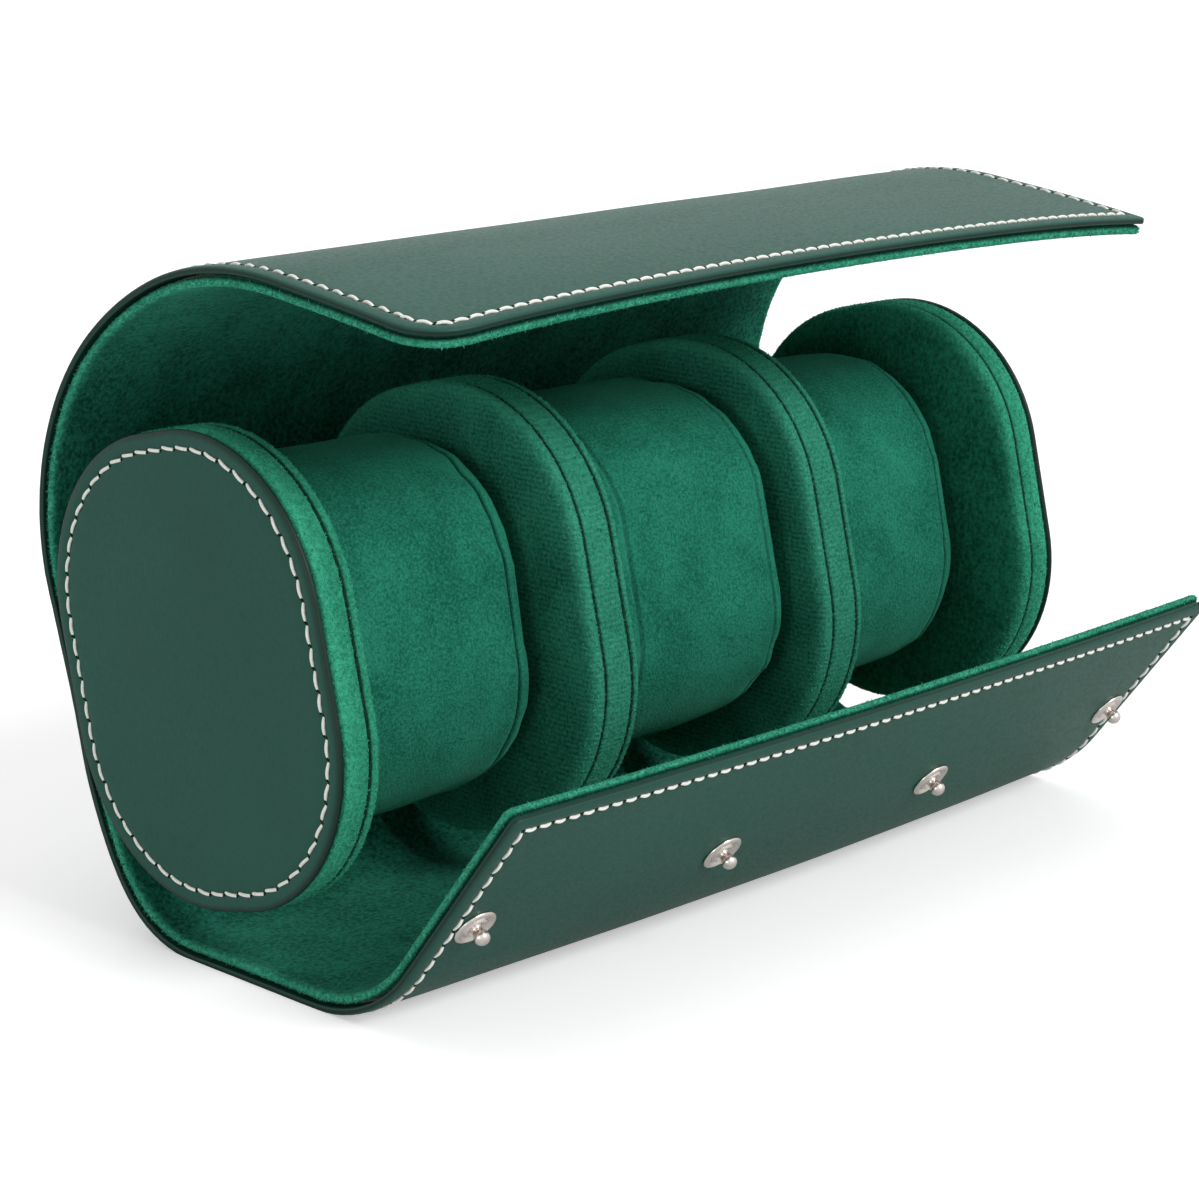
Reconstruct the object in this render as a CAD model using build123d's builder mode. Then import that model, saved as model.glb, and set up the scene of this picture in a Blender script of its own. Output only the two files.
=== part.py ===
from build123d import *
import math
import os

# A soft roll that holds watches: a leather wrap lined with velvet, glued along its back to a row of
# upright ovals, with a cushion between each pair of ovals. Lengths are in millimetres.
# +X runs along the roll from the near end cap to the far one, +Z is up, and the case opens to -Y.
# The origin is on the flat that the case stands on.

# Ovals: the end caps and the dividers
case_length = 200.0
oval_depth = 73.8
oval_height = 86.2
oval_top_flat = 7.8
oval_corner = (oval_depth - oval_top_flat) / 2
cap_thickness = 10.0
divider_thickness = 12.0
divider_count = 2
core_lean = 13.2
cover_thickness = 1.6
rim_rounding = 1.2

# Wrap: its layers from the outside in, and how far its edges stay inside the end caps
leather_thickness = 1.3
board_thickness = 0.5
velvet_thickness = 1.8
wrap_setback = 2.0
velvet_setback = 0.4
board_setback = 3.5

# Wrap outline on the leather side, walked both ways from the origin on the standing flat.
# Each stretch has a length and an angle of turn in degrees, positive towards the inside of the roll.
base_front = 11.5
base_rear = 20.0
heel_length, heel_angle = 17.5, 40.0
calf_length, calf_angle = 31.7, 36.8
spine_length = 24.0
spring_length, spring_angle = 8.0, -2.0
back_length, back_angle = 19.0, 24.5
shoulder_length, shoulder_angle = 35.0, 40.3
crown_length, crown_angle = 55.0, 46.8
flap_length, flap_angle = 37.5, 3.5
toe_length, toe_angle = 29.0, 52.0
front_length = 43.0
spine_drop = 2.5
stand_cut = 0.3

# Creases, as distances along the outline from the origin
heel_crease = 57.9
back_crease = 111.4
lid_crease = 170.6
flap_crease = 208.2
toe_crease = 7.7
front_crease = 44.9
crease_gap = 0.3
crease_relief_share = 0.12
board_crease_setback = 1.5

# Corners of the two free edges
lid_near_corner = 9.0
lid_far_corner = 1.5
front_corner = 1.5

# Cushions
cushion_depth = 59.0
cushion_height = 68.4
cushion_top_flat = 5.0
cushion_corner = (cushion_depth - cushion_top_flat) / 2
cushion_side_gap = 1.5
cushion_cover = 1.4
cushion_crown = 0.8
cushion_end_dome = 2.0
cushion_end_draw = 3.5
cushion_lift = 0.5
cushion_back_gap = 0.4

# Snaps
snap_count = 4
snap_side_inset = 8.0
stud_tip_inset = 30.5
socket_tip_inset = 7.71
stud_disc_radius = 4.65
stud_disc_rim = 0.7
stud_dish_radius = 3.1
stud_dish_floor = 0.4
stud_neck_radius = 1.1
stud_ball_radius = 1.5
stud_ball_height = 2.3
rivet_plate_radius = 3.0
rivet_shank_radius = 0.6
rivet_reach = 2.1
rivet_clearance = 0.03
socket_flange_radius = 4.3
socket_flange_rim = 0.5
socket_tube_radius = 2.6
socket_bore_radius = 1.95
socket_back_radius = 4.2
socket_back_thickness = 0.3
spring_wire_radius = 0.15
spring_ring_radius = 1.8
spring_proud = 0.25
snap_hole_clearance = 0.05
snap_seat_gap = 0.03
cut_overrun = 1.0

# What follows from those sizes
wrap_thickness = leather_thickness + board_thickness + velvet_thickness
board_depth = leather_thickness + board_thickness
half_case = case_length / 2
half_wrap = half_case - wrap_setback
clear_length = case_length - 2 * cap_thickness - divider_count * divider_thickness
compartment = clear_length / (divider_count + 1)
cushion_length = compartment - 2 * (cushion_side_gap + cushion_end_dome)
rear_walk = [
    (base_rear, 0),
    (heel_length, heel_angle),
    (calf_length, calf_angle),
    (spine_length, 0),
    (spring_length, spring_angle),
    (back_length, back_angle),
    (shoulder_length, shoulder_angle),
    (crown_length, crown_angle),
    (flap_length, flap_angle),
]
front_walk = [(base_front, 0), (toe_length, toe_angle), (front_length, 0)]
rear_end = sum(length for length, turn in rear_walk)
front_end = sum(length for length, turn in front_walk)


def frames(walk):
    """The start point, heading and place along the outline of each stretch of a walk."""
    y, z, heading, place = 0.0, -stand_cut, 0.0, 0.0
    rows = []
    for length, turn in walk:
        rows.append((y, z, heading, place, length, turn))
        chord = length
        if turn:
            half_turn = math.radians(turn) / 2
            chord = length * math.sin(half_turn) / half_turn
        middle = math.radians(heading + turn / 2)
        y += chord * math.cos(middle)
        z += chord * math.sin(middle)
        heading += turn
        place += length
    return rows


rear_frames = frames(rear_walk)
front_frames = frames(front_walk)


def station(place, depth):
    """A point of the wrap, and its heading away from the origin, at a depth under the leather.

    Places in front of the origin are negative.
    """
    rows = rear_frames if place >= 0 else front_frames
    reach = abs(place)
    row = rows[0]
    for candidate in rows:
        if candidate[3] <= reach:
            row = candidate
    y, z, heading, start, length, turn = row
    share = (reach - start) / length
    bend = turn * share
    chord = reach - start
    if bend:
        half_bend = math.radians(bend) / 2
        chord = chord * math.sin(half_bend) / half_bend
    middle = math.radians(heading + bend / 2)
    there = math.radians(heading + bend)
    y += chord * math.cos(middle) - depth * math.sin(there)
    z += chord * math.sin(middle) + depth * math.cos(there)
    side = 1 if place >= 0 else -1
    return side * y, z, heading + bend


def joints_between(start, end):
    """Places where one stretch meets the next between two places on the wrap."""
    ends = [row[3] for row in rear_frames[1:]] + [-row[3] for row in front_frames[1:]]
    inner = sorted(place for place in ends if start < place < end)
    return [start] + inner + [end]


def face_line(start, end, depth):
    """Draws one face of a layer from start to end, an arc or a line for each stretch."""
    marks = joints_between(start, end)
    if start > end:
        marks = list(reversed(joints_between(end, start)))
    for first, last in zip(marks, marks[1:]):
        middle = (first + last) / 2
        points = [station(place, depth)[:2] for place in (first, middle, last)]
        bend = abs(station(last, depth)[2] - station(first, depth)[2])
        crosses_base = first * last < 0
        if bend and not crosses_base:
            ThreePointArc(*points)
        else:
            Line(points[0], points[2])


def crease_trim(depth):
    """How far a layer ends before a crease, more at the leather than at the velvet."""
    return crease_gap / 2 + (wrap_thickness - depth) * crease_relief_share


def layer(start, end, outer, inner, half_length, start_setback, end_setback):
    """One layer of one panel of the wrap. A setback of None marks an end that meets a crease."""
    limits = {}
    for depth in (outer, inner):
        low = start + (crease_trim(depth) if start_setback is None else start_setback)
        high = end - (crease_trim(depth) if end_setback is None else end_setback)
        limits[depth] = (low, high)
    with BuildPart() as panel:
        with BuildSketch(Plane.YZ.offset(-half_length)):
            with BuildLine():
                low, high = limits[outer]
                inner_low, inner_high = limits[inner]
                face_line(low, high, outer)
                Line(station(high, outer)[:2], station(inner_high, inner)[:2])
                face_line(inner_high, inner_low, inner)
                Line(station(inner_low, inner)[:2], station(low, outer)[:2])
            make_face()
        extrude(amount=2 * half_length)
    return panel.part


def save(part, name):
    part.label = name
    export_step(part, "parts/" + name + ".step")


def crease_plane(place, depth, x):
    """A plane on a layer whose normal points out of the leather, at a place on the wrap."""
    y, z, heading = station(place, depth)
    side = 1 if place >= 0 else -1
    angle = math.radians(heading)
    along = (0, side * math.cos(angle), math.sin(angle))
    outward = (0, side * math.sin(angle), -math.cos(angle))
    return Plane(origin=(x, y, z), x_dir=along, z_dir=outward)


def corner_block(place, tip, x_edge, radius, depth_from, depth_to):
    """What a rounded corner takes off a free edge: a square block less the round."""
    inward = -1 if x_edge > 0 else 1
    towards = -1 if tip > 0 else 1
    plane = crease_plane(place, depth_to, x_edge)
    with BuildPart(mode=Mode.PRIVATE) as block:
        with BuildSketch(plane):
            with BuildLine():
                edge = abs(tip) - abs(place)
                side = -inward if tip > 0 else inward
                a = (edge, 0)
                b = (edge, side * radius)
                c = (edge - radius, 0)
                lean = radius * (1 - math.sqrt(0.5))
                Line(c, a)
                Line(a, b)
                ThreePointArc(b, (edge - lean, side * lean), c)
            make_face()
        extrude(amount=depth_to - depth_from + cut_overrun, both=True)
    return block.part


os.makedirs("parts", exist_ok=True)

# Where the snaps sit along the roll, and on the wrap
snap_spacing = 2 * (half_wrap - snap_side_inset) / (snap_count - 1)
snap_places = [snap_spacing * (i - (snap_count - 1) / 2) for i in range(snap_count)]
stud_place = -(front_end - stud_tip_inset)
socket_place = rear_end - socket_tip_inset

# Each panel of the wrap: its name, where it starts and ends, and whether either end is a free edge
panels = [
    ("front_flap", -front_end, -front_crease, True, False),
    ("toe", -front_crease, -toe_crease, False, False),
    ("base", -toe_crease, heel_crease, False, False),
    ("spine", heel_crease, back_crease, False, False),
    ("back", back_crease, lid_crease, False, False),
    ("lid", lid_crease, flap_crease, False, False),
    ("top_flap", flap_crease, rear_end, False, True),
]


def snap_hole(part, place, depth, radius, length):
    """Cuts a round hole for each snap through one layer."""
    with BuildPart() as pierced:
        add(part)
        for x in snap_places:
            with BuildSketch(crease_plane(place, depth, x)):
                Circle(radius)
            extrude(amount=length + cut_overrun, both=True, mode=Mode.SUBTRACT)
    return pierced.part


def round_corners(part, name, depth_from, depth_to, half_length, setback):
    """Rounds the two corners of a free edge."""
    tip = rear_end - setback if name == "top_flap" else -(front_end - setback)
    near = lid_near_corner if name == "top_flap" else front_corner
    far = lid_far_corner if name == "top_flap" else front_corner
    place = tip - near if tip > 0 else tip + near
    with BuildPart() as rounded:
        add(part)
        add(corner_block(place, tip, -half_length, near, depth_from, depth_to), mode=Mode.SUBTRACT)
        add(corner_block(place, tip, half_length, far, depth_from, depth_to), mode=Mode.SUBTRACT)
    return rounded.part


for name, start, end, start_free, end_free in panels:
    leather_ends = [0 if free else None for free in (start_free, end_free)]
    velvet_ends = [velvet_setback if free else None for free in (start_free, end_free)]
    board_ends = [board_setback if free else board_crease_setback for free in (start_free, end_free)]
    leather = layer(start, end, 0, leather_thickness, half_wrap, *leather_ends)
    board = layer(
        start, end, leather_thickness, board_depth, half_wrap - board_setback, *board_ends
    )
    velvet = layer(
        start, end, board_depth, wrap_thickness, half_wrap - velvet_setback, *velvet_ends
    )
    if name in ("top_flap", "front_flap"):
        leather = round_corners(leather, name, 0, leather_thickness, half_wrap, 0)
        velvet = round_corners(
            velvet, name, board_depth, wrap_thickness, half_wrap - velvet_setback, velvet_setback
        )
    if name == "front_flap":
        leather = snap_hole(
            leather, stud_place, 0, rivet_shank_radius + snap_hole_clearance, leather_thickness
        )
        board = snap_hole(
            board,
            stud_place,
            leather_thickness,
            rivet_plate_radius + snap_hole_clearance,
            board_thickness,
        )
    if name == "top_flap":
        board = snap_hole(
            board,
            socket_place,
            leather_thickness,
            socket_back_radius + snap_hole_clearance,
            board_thickness,
        )
        velvet = snap_hole(
            velvet,
            socket_place,
            board_depth,
            socket_tube_radius + snap_hole_clearance,
            velvet_thickness,
        )
    if name in ("base", "toe"):
        with BuildPart() as standing:
            add(leather)
            split(bisect_by=Plane.XY, keep=Keep.TOP)
        leather = standing.part
    save(leather, name + "_leather")
    save(board, name + "_stiffener")
    save(velvet, name + "_lining")

# The ovals stand on the middle of the glued stretch of the spine
spine_middle = base_rear + heel_length + calf_length + spine_length / 2
spine_y, spine_z, spine_heading = station(spine_middle, wrap_thickness)
lean = math.radians(core_lean)
back_way = (math.cos(lean), -math.sin(lean))
up_way = (math.sin(lean), math.cos(lean))
oval_y = spine_y - oval_depth / 2 * back_way[0] + spine_drop * up_way[0]
oval_z = spine_z - oval_depth / 2 * back_way[1] + spine_drop * up_way[1]


def oval_plane(x, back=0.0, up=0.0):
    """The plane of an oval at x, moved back towards the spine or up along the oval."""
    y = oval_y + back * back_way[0] + up * up_way[0]
    z = oval_z + back * back_way[1] + up * up_way[1]
    return Plane(origin=(x, y, z), x_dir=(0, *back_way), z_dir=(1, 0, 0))


def oval_slab(x, thickness, inset):
    """A flat oval piece, inset all round from the outside of the ovals."""
    with BuildPart() as slab:
        with BuildSketch(oval_plane(x)):
            RectangleRounded(
                oval_depth - 2 * inset, oval_height - 2 * inset, oval_corner - inset
            )
        extrude(amount=thickness)
    return slab.part


def oval_rim(x, thickness, round_near, round_far):
    """The velvet band round an oval, with its outer edges rounded on the velvet sides."""
    with BuildPart() as rim:
        with BuildSketch(oval_plane(x)):
            RectangleRounded(oval_depth, oval_height, oval_corner)
        extrude(amount=thickness)
        ends = rim.faces().filter_by(Axis.X).sort_by(Axis.X)
        rounded = []
        if round_near:
            rounded += list(ends[0].edges())
        if round_far:
            rounded += list(ends[-1].edges())
        fillet(rounded, radius=rim_rounding)
        with BuildSketch(oval_plane(x - cut_overrun)):
            RectangleRounded(
                oval_depth - 2 * cover_thickness,
                oval_height - 2 * cover_thickness,
                oval_corner - cover_thickness,
            )
        extrude(amount=thickness + 2 * cut_overrun, mode=Mode.SUBTRACT)
    return rim.part


# End caps: leather outside, then board, with velvet round the rim and on the inner face
cap_board = cap_thickness - leather_thickness - cover_thickness
for name, side in (("near_cap", -1), ("far_cap", 1)):
    outer_face = side * half_case
    leather_x = min(outer_face, outer_face - side * leather_thickness)
    inner_face = outer_face - side * cap_thickness
    lining_x = min(inner_face, inner_face + side * cover_thickness)
    board_start = outer_face - side * leather_thickness
    board_x = min(board_start, board_start - side * cap_board)
    rim_x = min(board_start, inner_face)
    rim_length = cap_thickness - leather_thickness
    save(oval_slab(leather_x, leather_thickness, 0), name + "_leather")
    save(oval_slab(board_x, cap_board, cover_thickness), name + "_board")
    save(oval_slab(lining_x, cover_thickness, cover_thickness), name + "_lining")
    save(oval_rim(rim_x, rim_length, side > 0, side < 0), name + "_rim_velvet")

# Dividers: board with velvet round the rim and on both faces
divider_names = ["near_divider", "far_divider"]
for i, name in enumerate(divider_names):
    x = -half_case + cap_thickness + (i + 1) * compartment + i * divider_thickness
    board_length = divider_thickness - 2 * cover_thickness
    far_lining_x = x + divider_thickness - cover_thickness
    save(oval_slab(x, cover_thickness, cover_thickness), name + "_near_lining")
    save(oval_slab(x + cover_thickness, board_length, cover_thickness), name + "_board")
    save(oval_slab(far_lining_x, cover_thickness, cover_thickness), name + "_far_lining")
    save(oval_rim(x, divider_thickness, True, True), name + "_rim_velvet")

# Cushions: a crowned body pushed back against the spine, with a velvet sleeve and a disc on each end
cushion_back = oval_depth / 2 - cushion_back_gap - cushion_depth / 2


def cushion_body(x, inset):
    """A lofted body through three ovals, the middle one fuller than the ends."""
    with BuildPart() as body:
        for share in (-1, 0, 1):
            draw = inset + (cushion_crown if share else 0)
            plane = oval_plane(x + share * cushion_length / 2, cushion_back, cushion_lift)
            with BuildSketch(plane):
                RectangleRounded(
                    cushion_depth - 2 * draw, cushion_height - 2 * draw, cushion_corner - draw
                )
        loft()
    return body.part


cushion_names = ["near_cushion", "middle_cushion", "far_cushion"]
for i, name in enumerate(cushion_names):
    x = -half_case + cap_thickness + compartment / 2 + i * (compartment + divider_thickness)
    foam = cushion_body(x, cushion_cover)
    with BuildPart() as sleeve:
        add(cushion_body(x, 0))
        add(foam, mode=Mode.SUBTRACT)
    save(foam, name + "_foam")
    save(sleeve.part, name + "_sleeve")
    with BuildPart() as discs:
        for side in (-1, 1):
            seam = x + side * cushion_length / 2
            for reach, draw in ((0, cushion_crown), (cushion_end_dome, cushion_end_draw)):
                plane = oval_plane(seam + side * reach, cushion_back, cushion_lift)
                with BuildSketch(plane):
                    RectangleRounded(
                        cushion_depth - 2 * draw, cushion_height - 2 * draw, cushion_corner - draw
                    )
            loft()
    save(discs.part, name + "_ends")


def turned(name, place, depth, profile):
    """Turns one outline round the axis of each snap. The outline is in radius and height."""
    with BuildPart() as group:
        for x in snap_places:
            base = crease_plane(place, depth, x)
            section = Plane(origin=base.origin, x_dir=base.x_dir, z_dir=-base.y_dir)
            with BuildSketch(section):
                with BuildLine():
                    profile()
                make_face()
            revolve(axis=Axis(base.origin, base.z_dir))
    save(group.part, name)


def stud_outline():
    """Dished disc on the leather, a neck and a ball, hollow for the rivet shank."""
    bore = rivet_shank_radius + rivet_clearance
    rise = math.sqrt(stud_ball_radius**2 - stud_neck_radius**2)
    bore_top = rivet_reach
    top = stud_ball_height + stud_ball_radius
    Line((bore, 0), (stud_disc_radius, 0))
    Line((stud_disc_radius, 0), (stud_disc_radius, stud_disc_rim / 2))
    Line((stud_disc_radius, stud_disc_rim / 2), (stud_dish_radius, stud_disc_rim))
    Line((stud_dish_radius, stud_disc_rim), (stud_neck_radius, stud_dish_floor))
    Line((stud_neck_radius, stud_dish_floor), (stud_neck_radius, stud_ball_height - rise))
    ThreePointArc(
        (stud_neck_radius, stud_ball_height - rise), (stud_ball_radius, stud_ball_height), (0, top)
    )
    Line((0, top), (0, bore_top))
    Line((0, bore_top), (bore, bore_top))
    Line((bore, bore_top), (bore, 0))


def rivet_outline():
    """Plate under the leather with a shank that reaches up into the stud."""
    plate = -board_thickness
    shank_top = leather_thickness + rivet_reach - rivet_clearance
    Line((0, plate), (rivet_plate_radius, plate))
    Line((rivet_plate_radius, plate), (rivet_plate_radius, 0))
    Line((rivet_plate_radius, 0), (rivet_shank_radius, 0))
    Line((rivet_shank_radius, 0), (rivet_shank_radius, shank_top))
    Line((rivet_shank_radius, shank_top), (0, shank_top))
    Line((0, shank_top), (0, plate))


def socket_outline():
    """Flange on the velvet and a tube up to the back plate. Heights run out of the leather."""
    face = -snap_seat_gap
    proud = face - socket_flange_rim
    top = velvet_thickness + board_thickness - socket_back_thickness - 2 * snap_seat_gap
    Line((socket_bore_radius, proud), (socket_flange_radius, proud / 2))
    Line((socket_flange_radius, proud / 2), (socket_flange_radius, face))
    Line((socket_flange_radius, face), (socket_tube_radius, face))
    Line((socket_tube_radius, face), (socket_tube_radius, top))
    Line((socket_tube_radius, top), (socket_bore_radius, top))
    Line((socket_bore_radius, top), (socket_bore_radius, proud))


def socket_back_outline():
    """Plate between the leather and the socket tube."""
    low = -socket_back_thickness
    high = -snap_seat_gap
    Line((0, low), (socket_back_radius, low))
    Line((socket_back_radius, low), (socket_back_radius, high))
    Line((socket_back_radius, high), (0, high))
    Line((0, high), (0, low))


def spring_outline():
    """Wire ring that grips the neck of the stud."""
    CenterArc((spring_ring_radius, spring_proud), spring_wire_radius, 0, 360)


turned("snap_studs", stud_place, 0, stud_outline)
turned("stud_rivets", stud_place, leather_thickness, rivet_outline)
turned("snap_sockets", socket_place, wrap_thickness, socket_outline)
turned("socket_backs", socket_place, leather_thickness, socket_back_outline)
turned("socket_springs", socket_place, wrap_thickness, spring_outline)

# Places that the joints and the mount use
for name, place in (
    ("heel", heel_crease),
    ("back", back_crease),
    ("lid", lid_crease),
    ("flap", flap_crease),
    ("toe", -toe_crease),
    ("front", -front_crease),
):
    y, z, heading = station(place, wrap_thickness)
    print(name, "crease axis at y", round(y, 4), "z", round(z, 4))
print("oval centre at y", round(oval_y, 4), "z", round(oval_z, 4))
print("stud at", station(stud_place, 0), "socket at", station(socket_place, wrap_thickness))
print("snap places", [round(x, 3) for x in snap_places], "compartment", round(compartment, 3))
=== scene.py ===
"""Travel watch case: a leather roll lined with velvet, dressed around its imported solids."""

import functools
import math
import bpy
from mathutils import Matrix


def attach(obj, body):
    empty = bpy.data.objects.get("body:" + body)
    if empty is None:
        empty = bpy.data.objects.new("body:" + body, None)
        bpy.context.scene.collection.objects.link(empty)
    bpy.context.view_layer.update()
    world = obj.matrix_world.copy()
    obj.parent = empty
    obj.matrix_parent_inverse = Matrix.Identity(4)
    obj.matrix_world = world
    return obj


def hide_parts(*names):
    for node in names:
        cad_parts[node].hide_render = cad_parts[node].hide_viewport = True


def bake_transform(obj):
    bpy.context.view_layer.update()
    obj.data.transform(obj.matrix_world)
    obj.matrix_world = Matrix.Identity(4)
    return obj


bl_info = {
    "name": "Travel Watch Case",
    "version": (1, 0, 0),
    "blender": (4, 5, 0),
    "location": "3D View > Sidebar > Watch Case",
    "description": "Makes a three-compartment watch roll of leather, velvet, stitches and snaps",
    "category": "Add Mesh",
}

from collections import namedtuple

import bmesh
import bpy
import numpy as np
from mathutils import Matrix, Vector
from mathutils.bvhtree import BVHTree

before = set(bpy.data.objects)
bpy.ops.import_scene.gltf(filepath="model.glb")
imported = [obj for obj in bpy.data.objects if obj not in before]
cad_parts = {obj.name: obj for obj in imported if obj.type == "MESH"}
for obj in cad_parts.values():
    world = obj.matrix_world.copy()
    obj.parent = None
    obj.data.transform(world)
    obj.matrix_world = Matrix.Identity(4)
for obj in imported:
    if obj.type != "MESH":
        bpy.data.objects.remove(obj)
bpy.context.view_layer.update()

MM = 0.001

# Outline of the wrap on its leather side, in millimetres: stretches of a length and a turn in
# degrees, walked back and forward from the origin on the standing flat.
REAR_WALK = (
    (20.0, 0.0), (17.5, 40.0), (31.7, 36.8), (24.0, 0.0), (8.0, -2.0),
    (19.0, 24.5), (35.0, 40.3), (55.0, 46.8), (37.5, 3.5),
)
FRONT_WALK = ((11.5, 0.0), (29.0, 52.0), (43.0, 0.0))
START_DROP = 0.3
REAR_END = sum(length for length, turn in REAR_WALK)
FRONT_END = sum(length for length, turn in FRONT_WALK)
HALF_WRAP = 98.0
LEATHER = 1.3
BOARD = 0.5
VELVET = 1.8
WRAP = LEATHER + BOARD + VELVET
VELVET_SETBACK = 0.4
BOARD_SETBACK = 3.5
BOARD_GAP = 0.05
LID_NEAR_CORNER = 9.0
SHARP_CORNER = 0.8

# How far the soft wrap stands out of its outline, in millimetres. A rise or fall is where it
# starts, forward or back, and over how long it goes; the heel's are its middle and its width. The
# lid's bow is its height and what it loses to both sides, where nothing is left of it.
BACK_SWELL, BACK_RISE, BACK_FALL = 1.3, (75.0, 30.0), (175.0, 40.0)
LID_BOW, LID_RISE = (3.5, 2.6, 0.9), (180.0, REAR_END - 182.0)
FRONT_SWELL, FRONT_RISE, FRONT_FALL = 2.6, (12.0, 35.0), (55.0, 28.0)
FRONT_SWELL_LOST = 0.6
HEEL_SWELL, HEEL = 1.7, (40.0, 13.0)

# Distance of the edge seam from the edge, and how deep it lies in the leather, in millimetres.
# The sizes of its stitches along the sides of the wrap and across the free ends of its flaps are
# against those on the caps, and how stout they are is against the full thread.
SEAM_INSET = 3.3
SEAM_DEPTH, CAP_SEAM_DEPTH = 0.05, 0.14
SIDE_STITCH, END_STITCH = 0.93, 0.84
WRAP_STOUT, CAP_STOUT = 0.92, 0.9

# Each strip of the wrap crosses one crease: its two bodies, the place of the crease, and its ends.
Strip = namedtuple("Strip", "name front_body rear_body crease low high")
STRIPS = (
    Strip("front_bend", "front_flap", "toe", -44.9, -FRONT_END, -26.0),
    Strip("toe_bend", "toe", "base", -7.7, -26.0, 24.0),
    Strip("heel_bend", "base", "core", 57.9, 24.0, 84.0),
    Strip("back_bend", "core", "back", 111.4, 84.0, 141.0),
    Strip("lid_bend", "back", "lid", 170.6, 141.0, 190.0),
    Strip("flap_bend", "lid", "top_flap", 208.2, 190.0, REAR_END),
)
BEND_REACH = 8.0

# Ovals: the end caps and the dividers
HALF_CASE = 100.0
OVAL_CENTRE = (16.3202, 55.4677)
OVAL_LEAN = math.radians(13.2)
OVAL = (73.8, 86.2, 33.0)
LEAST_CORNER = 0.5
CAP = 10.0
DIVIDER = 12.0
COMPARTMENT = 52.0
CUSHION = (59.0, 68.4, 27.0)
CUSHION_LENGTH = 45.0
CUSHION_BACK = 7.0
CUSHION_LIFT = 0.5
# How much fuller each cushion is at its front, and at its top as a share of that; how deep its
# seams pull in and how dark their painted shade is; its rough radius, and the wavelengths of its
# gathers and hollows, how far the gathers reach from the seam, and how much further than its
# length it may swell at each end
CUSHION_FRONTS = (3.5, 9.0, 0.5)
TOP_FULLNESS = 0.3
CUSHION_SEAMS = (1.0, 0.35, 0.6)
CUSHION_RADIUS = 30.0
GATHER_STEP, HOLLOW_STEP = 6.0, 22.0
GATHER_REACH = 3.0
CUSHION_ROOM = 2.0

# Snaps
SNAP_PLACES = (-90.0, -30.0, 30.0, 90.0)
STUD_PLACE = -(FRONT_END - 30.5)
SOCKET_PLACE = REAR_END - 7.71


def linear(hex_colour):
    """An sRGB hex colour as linear red, green, blue and alpha."""
    parts = [int(hex_colour[i : i + 2], 16) / 255 for i in (1, 3, 5)]
    return [c / 12.92 if c <= 0.04045 else ((c + 0.055) / 1.055) ** 2.4 for c in parts] + [1.0]


def smooth(share):
    """A share from 0 to 1 that starts and stops softly."""
    share = np.clip(share, 0.0, 1.0)
    return share * share * (3 - 2 * share)


def bell(value, middle, width):
    """1 at the middle, falling softly to nothing on both sides."""
    return np.exp(-(((value - middle) / width) ** 2))


def stretch_rows(walk):
    """Start point, heading, place, length and turn of each stretch of a walk."""
    y, z, heading, place = 0.0, -START_DROP, 0.0, 0.0
    rows = []
    for length, turn in walk:
        rows.append((y, z, heading, place, length, turn))
        half = math.radians(turn) / 2
        chord = length * (math.sin(half) / half if half else 1.0)
        middle = math.radians(heading) + half
        y += chord * math.cos(middle)
        z += chord * math.sin(middle)
        heading += turn
        place += length
    return np.array(rows)


REAR_ROWS = stretch_rows(REAR_WALK)
FRONT_ROWS = stretch_rows(FRONT_WALK)


def risen(place, rise):
    """How much of a rise is done at a place, from 0 to 1."""
    return smooth((place - rise[0]) / rise[1])


def arch(x, place):
    """How far the soft wrap stands out of the plain outline, at a place along and across it."""
    across = (x / HALF_WRAP) ** 2
    back = BACK_SWELL * risen(place, BACK_RISE) * (1 - risen(place, BACK_FALL))
    bow = LID_BOW[0] - LID_BOW[1] * across - LID_BOW[2] * across**3
    front = FRONT_SWELL * (1 - across) * risen(-place, FRONT_RISE)
    front = front * (1 - FRONT_SWELL_LOST * risen(-place, FRONT_FALL))
    return back + bow * risen(place, LID_RISE) + front + HEEL_SWELL * bell(place, *HEEL)


def on_wrap(x, place, depth):
    """Points in millimetres on the wrap, and the unit way out of the leather there."""
    x, place, depth = (np.asarray(a, float) for a in np.broadcast_arrays(x, place, depth))
    points = np.empty(place.shape + (3,))
    outward = np.zeros(place.shape + (3,))
    for rows, side in ((REAR_ROWS, 1), (FRONT_ROWS, -1)):
        here = place >= 0 if side > 0 else place < 0
        reach = np.abs(place[here])
        found = np.clip(np.searchsorted(rows[:, 3], reach, side="right") - 1, 0, len(rows) - 1)
        y, z, heading, start, length, turn = rows[found].T
        along = reach - start
        half = np.radians(turn * along / length) / 2
        middle = np.radians(heading) + half
        there = middle + half
        chord = along * np.sinc(half / math.pi)
        under = depth[here] - arch(x[here], place[here])
        y = y + chord * np.cos(middle) - under * np.sin(there)
        z = z + chord * np.sin(middle) + under * np.cos(there)
        points[here] = np.stack([x[here], side * y, np.maximum(z, 0.0)], -1)
        outward[here, 1] = side * np.sin(there)
        outward[here, 2] = -np.cos(there)
    return points, outward


def ripple(a, b, step, seed):
    """Unevenness between -1 and 1, from a few crossing waves of about one wavelength."""
    rng = np.random.default_rng(seed)
    total = np.zeros(np.broadcast(a, b).shape)
    for angle, phase, stretch in rng.uniform((0, 0, 0.7), (math.pi, 6.28, 1.4), (6, 3)):
        k = 2 * math.pi / (step * stretch)
        total = total + np.sin(k * (a * math.cos(angle) + b * math.sin(angle)) + phase)
    return total / 6


def linked_object(name, data):
    """A new object with its data, in the scene."""
    obj = bpy.data.objects.new(name, data)
    bpy.context.scene.collection.objects.link(obj)
    return obj


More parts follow.
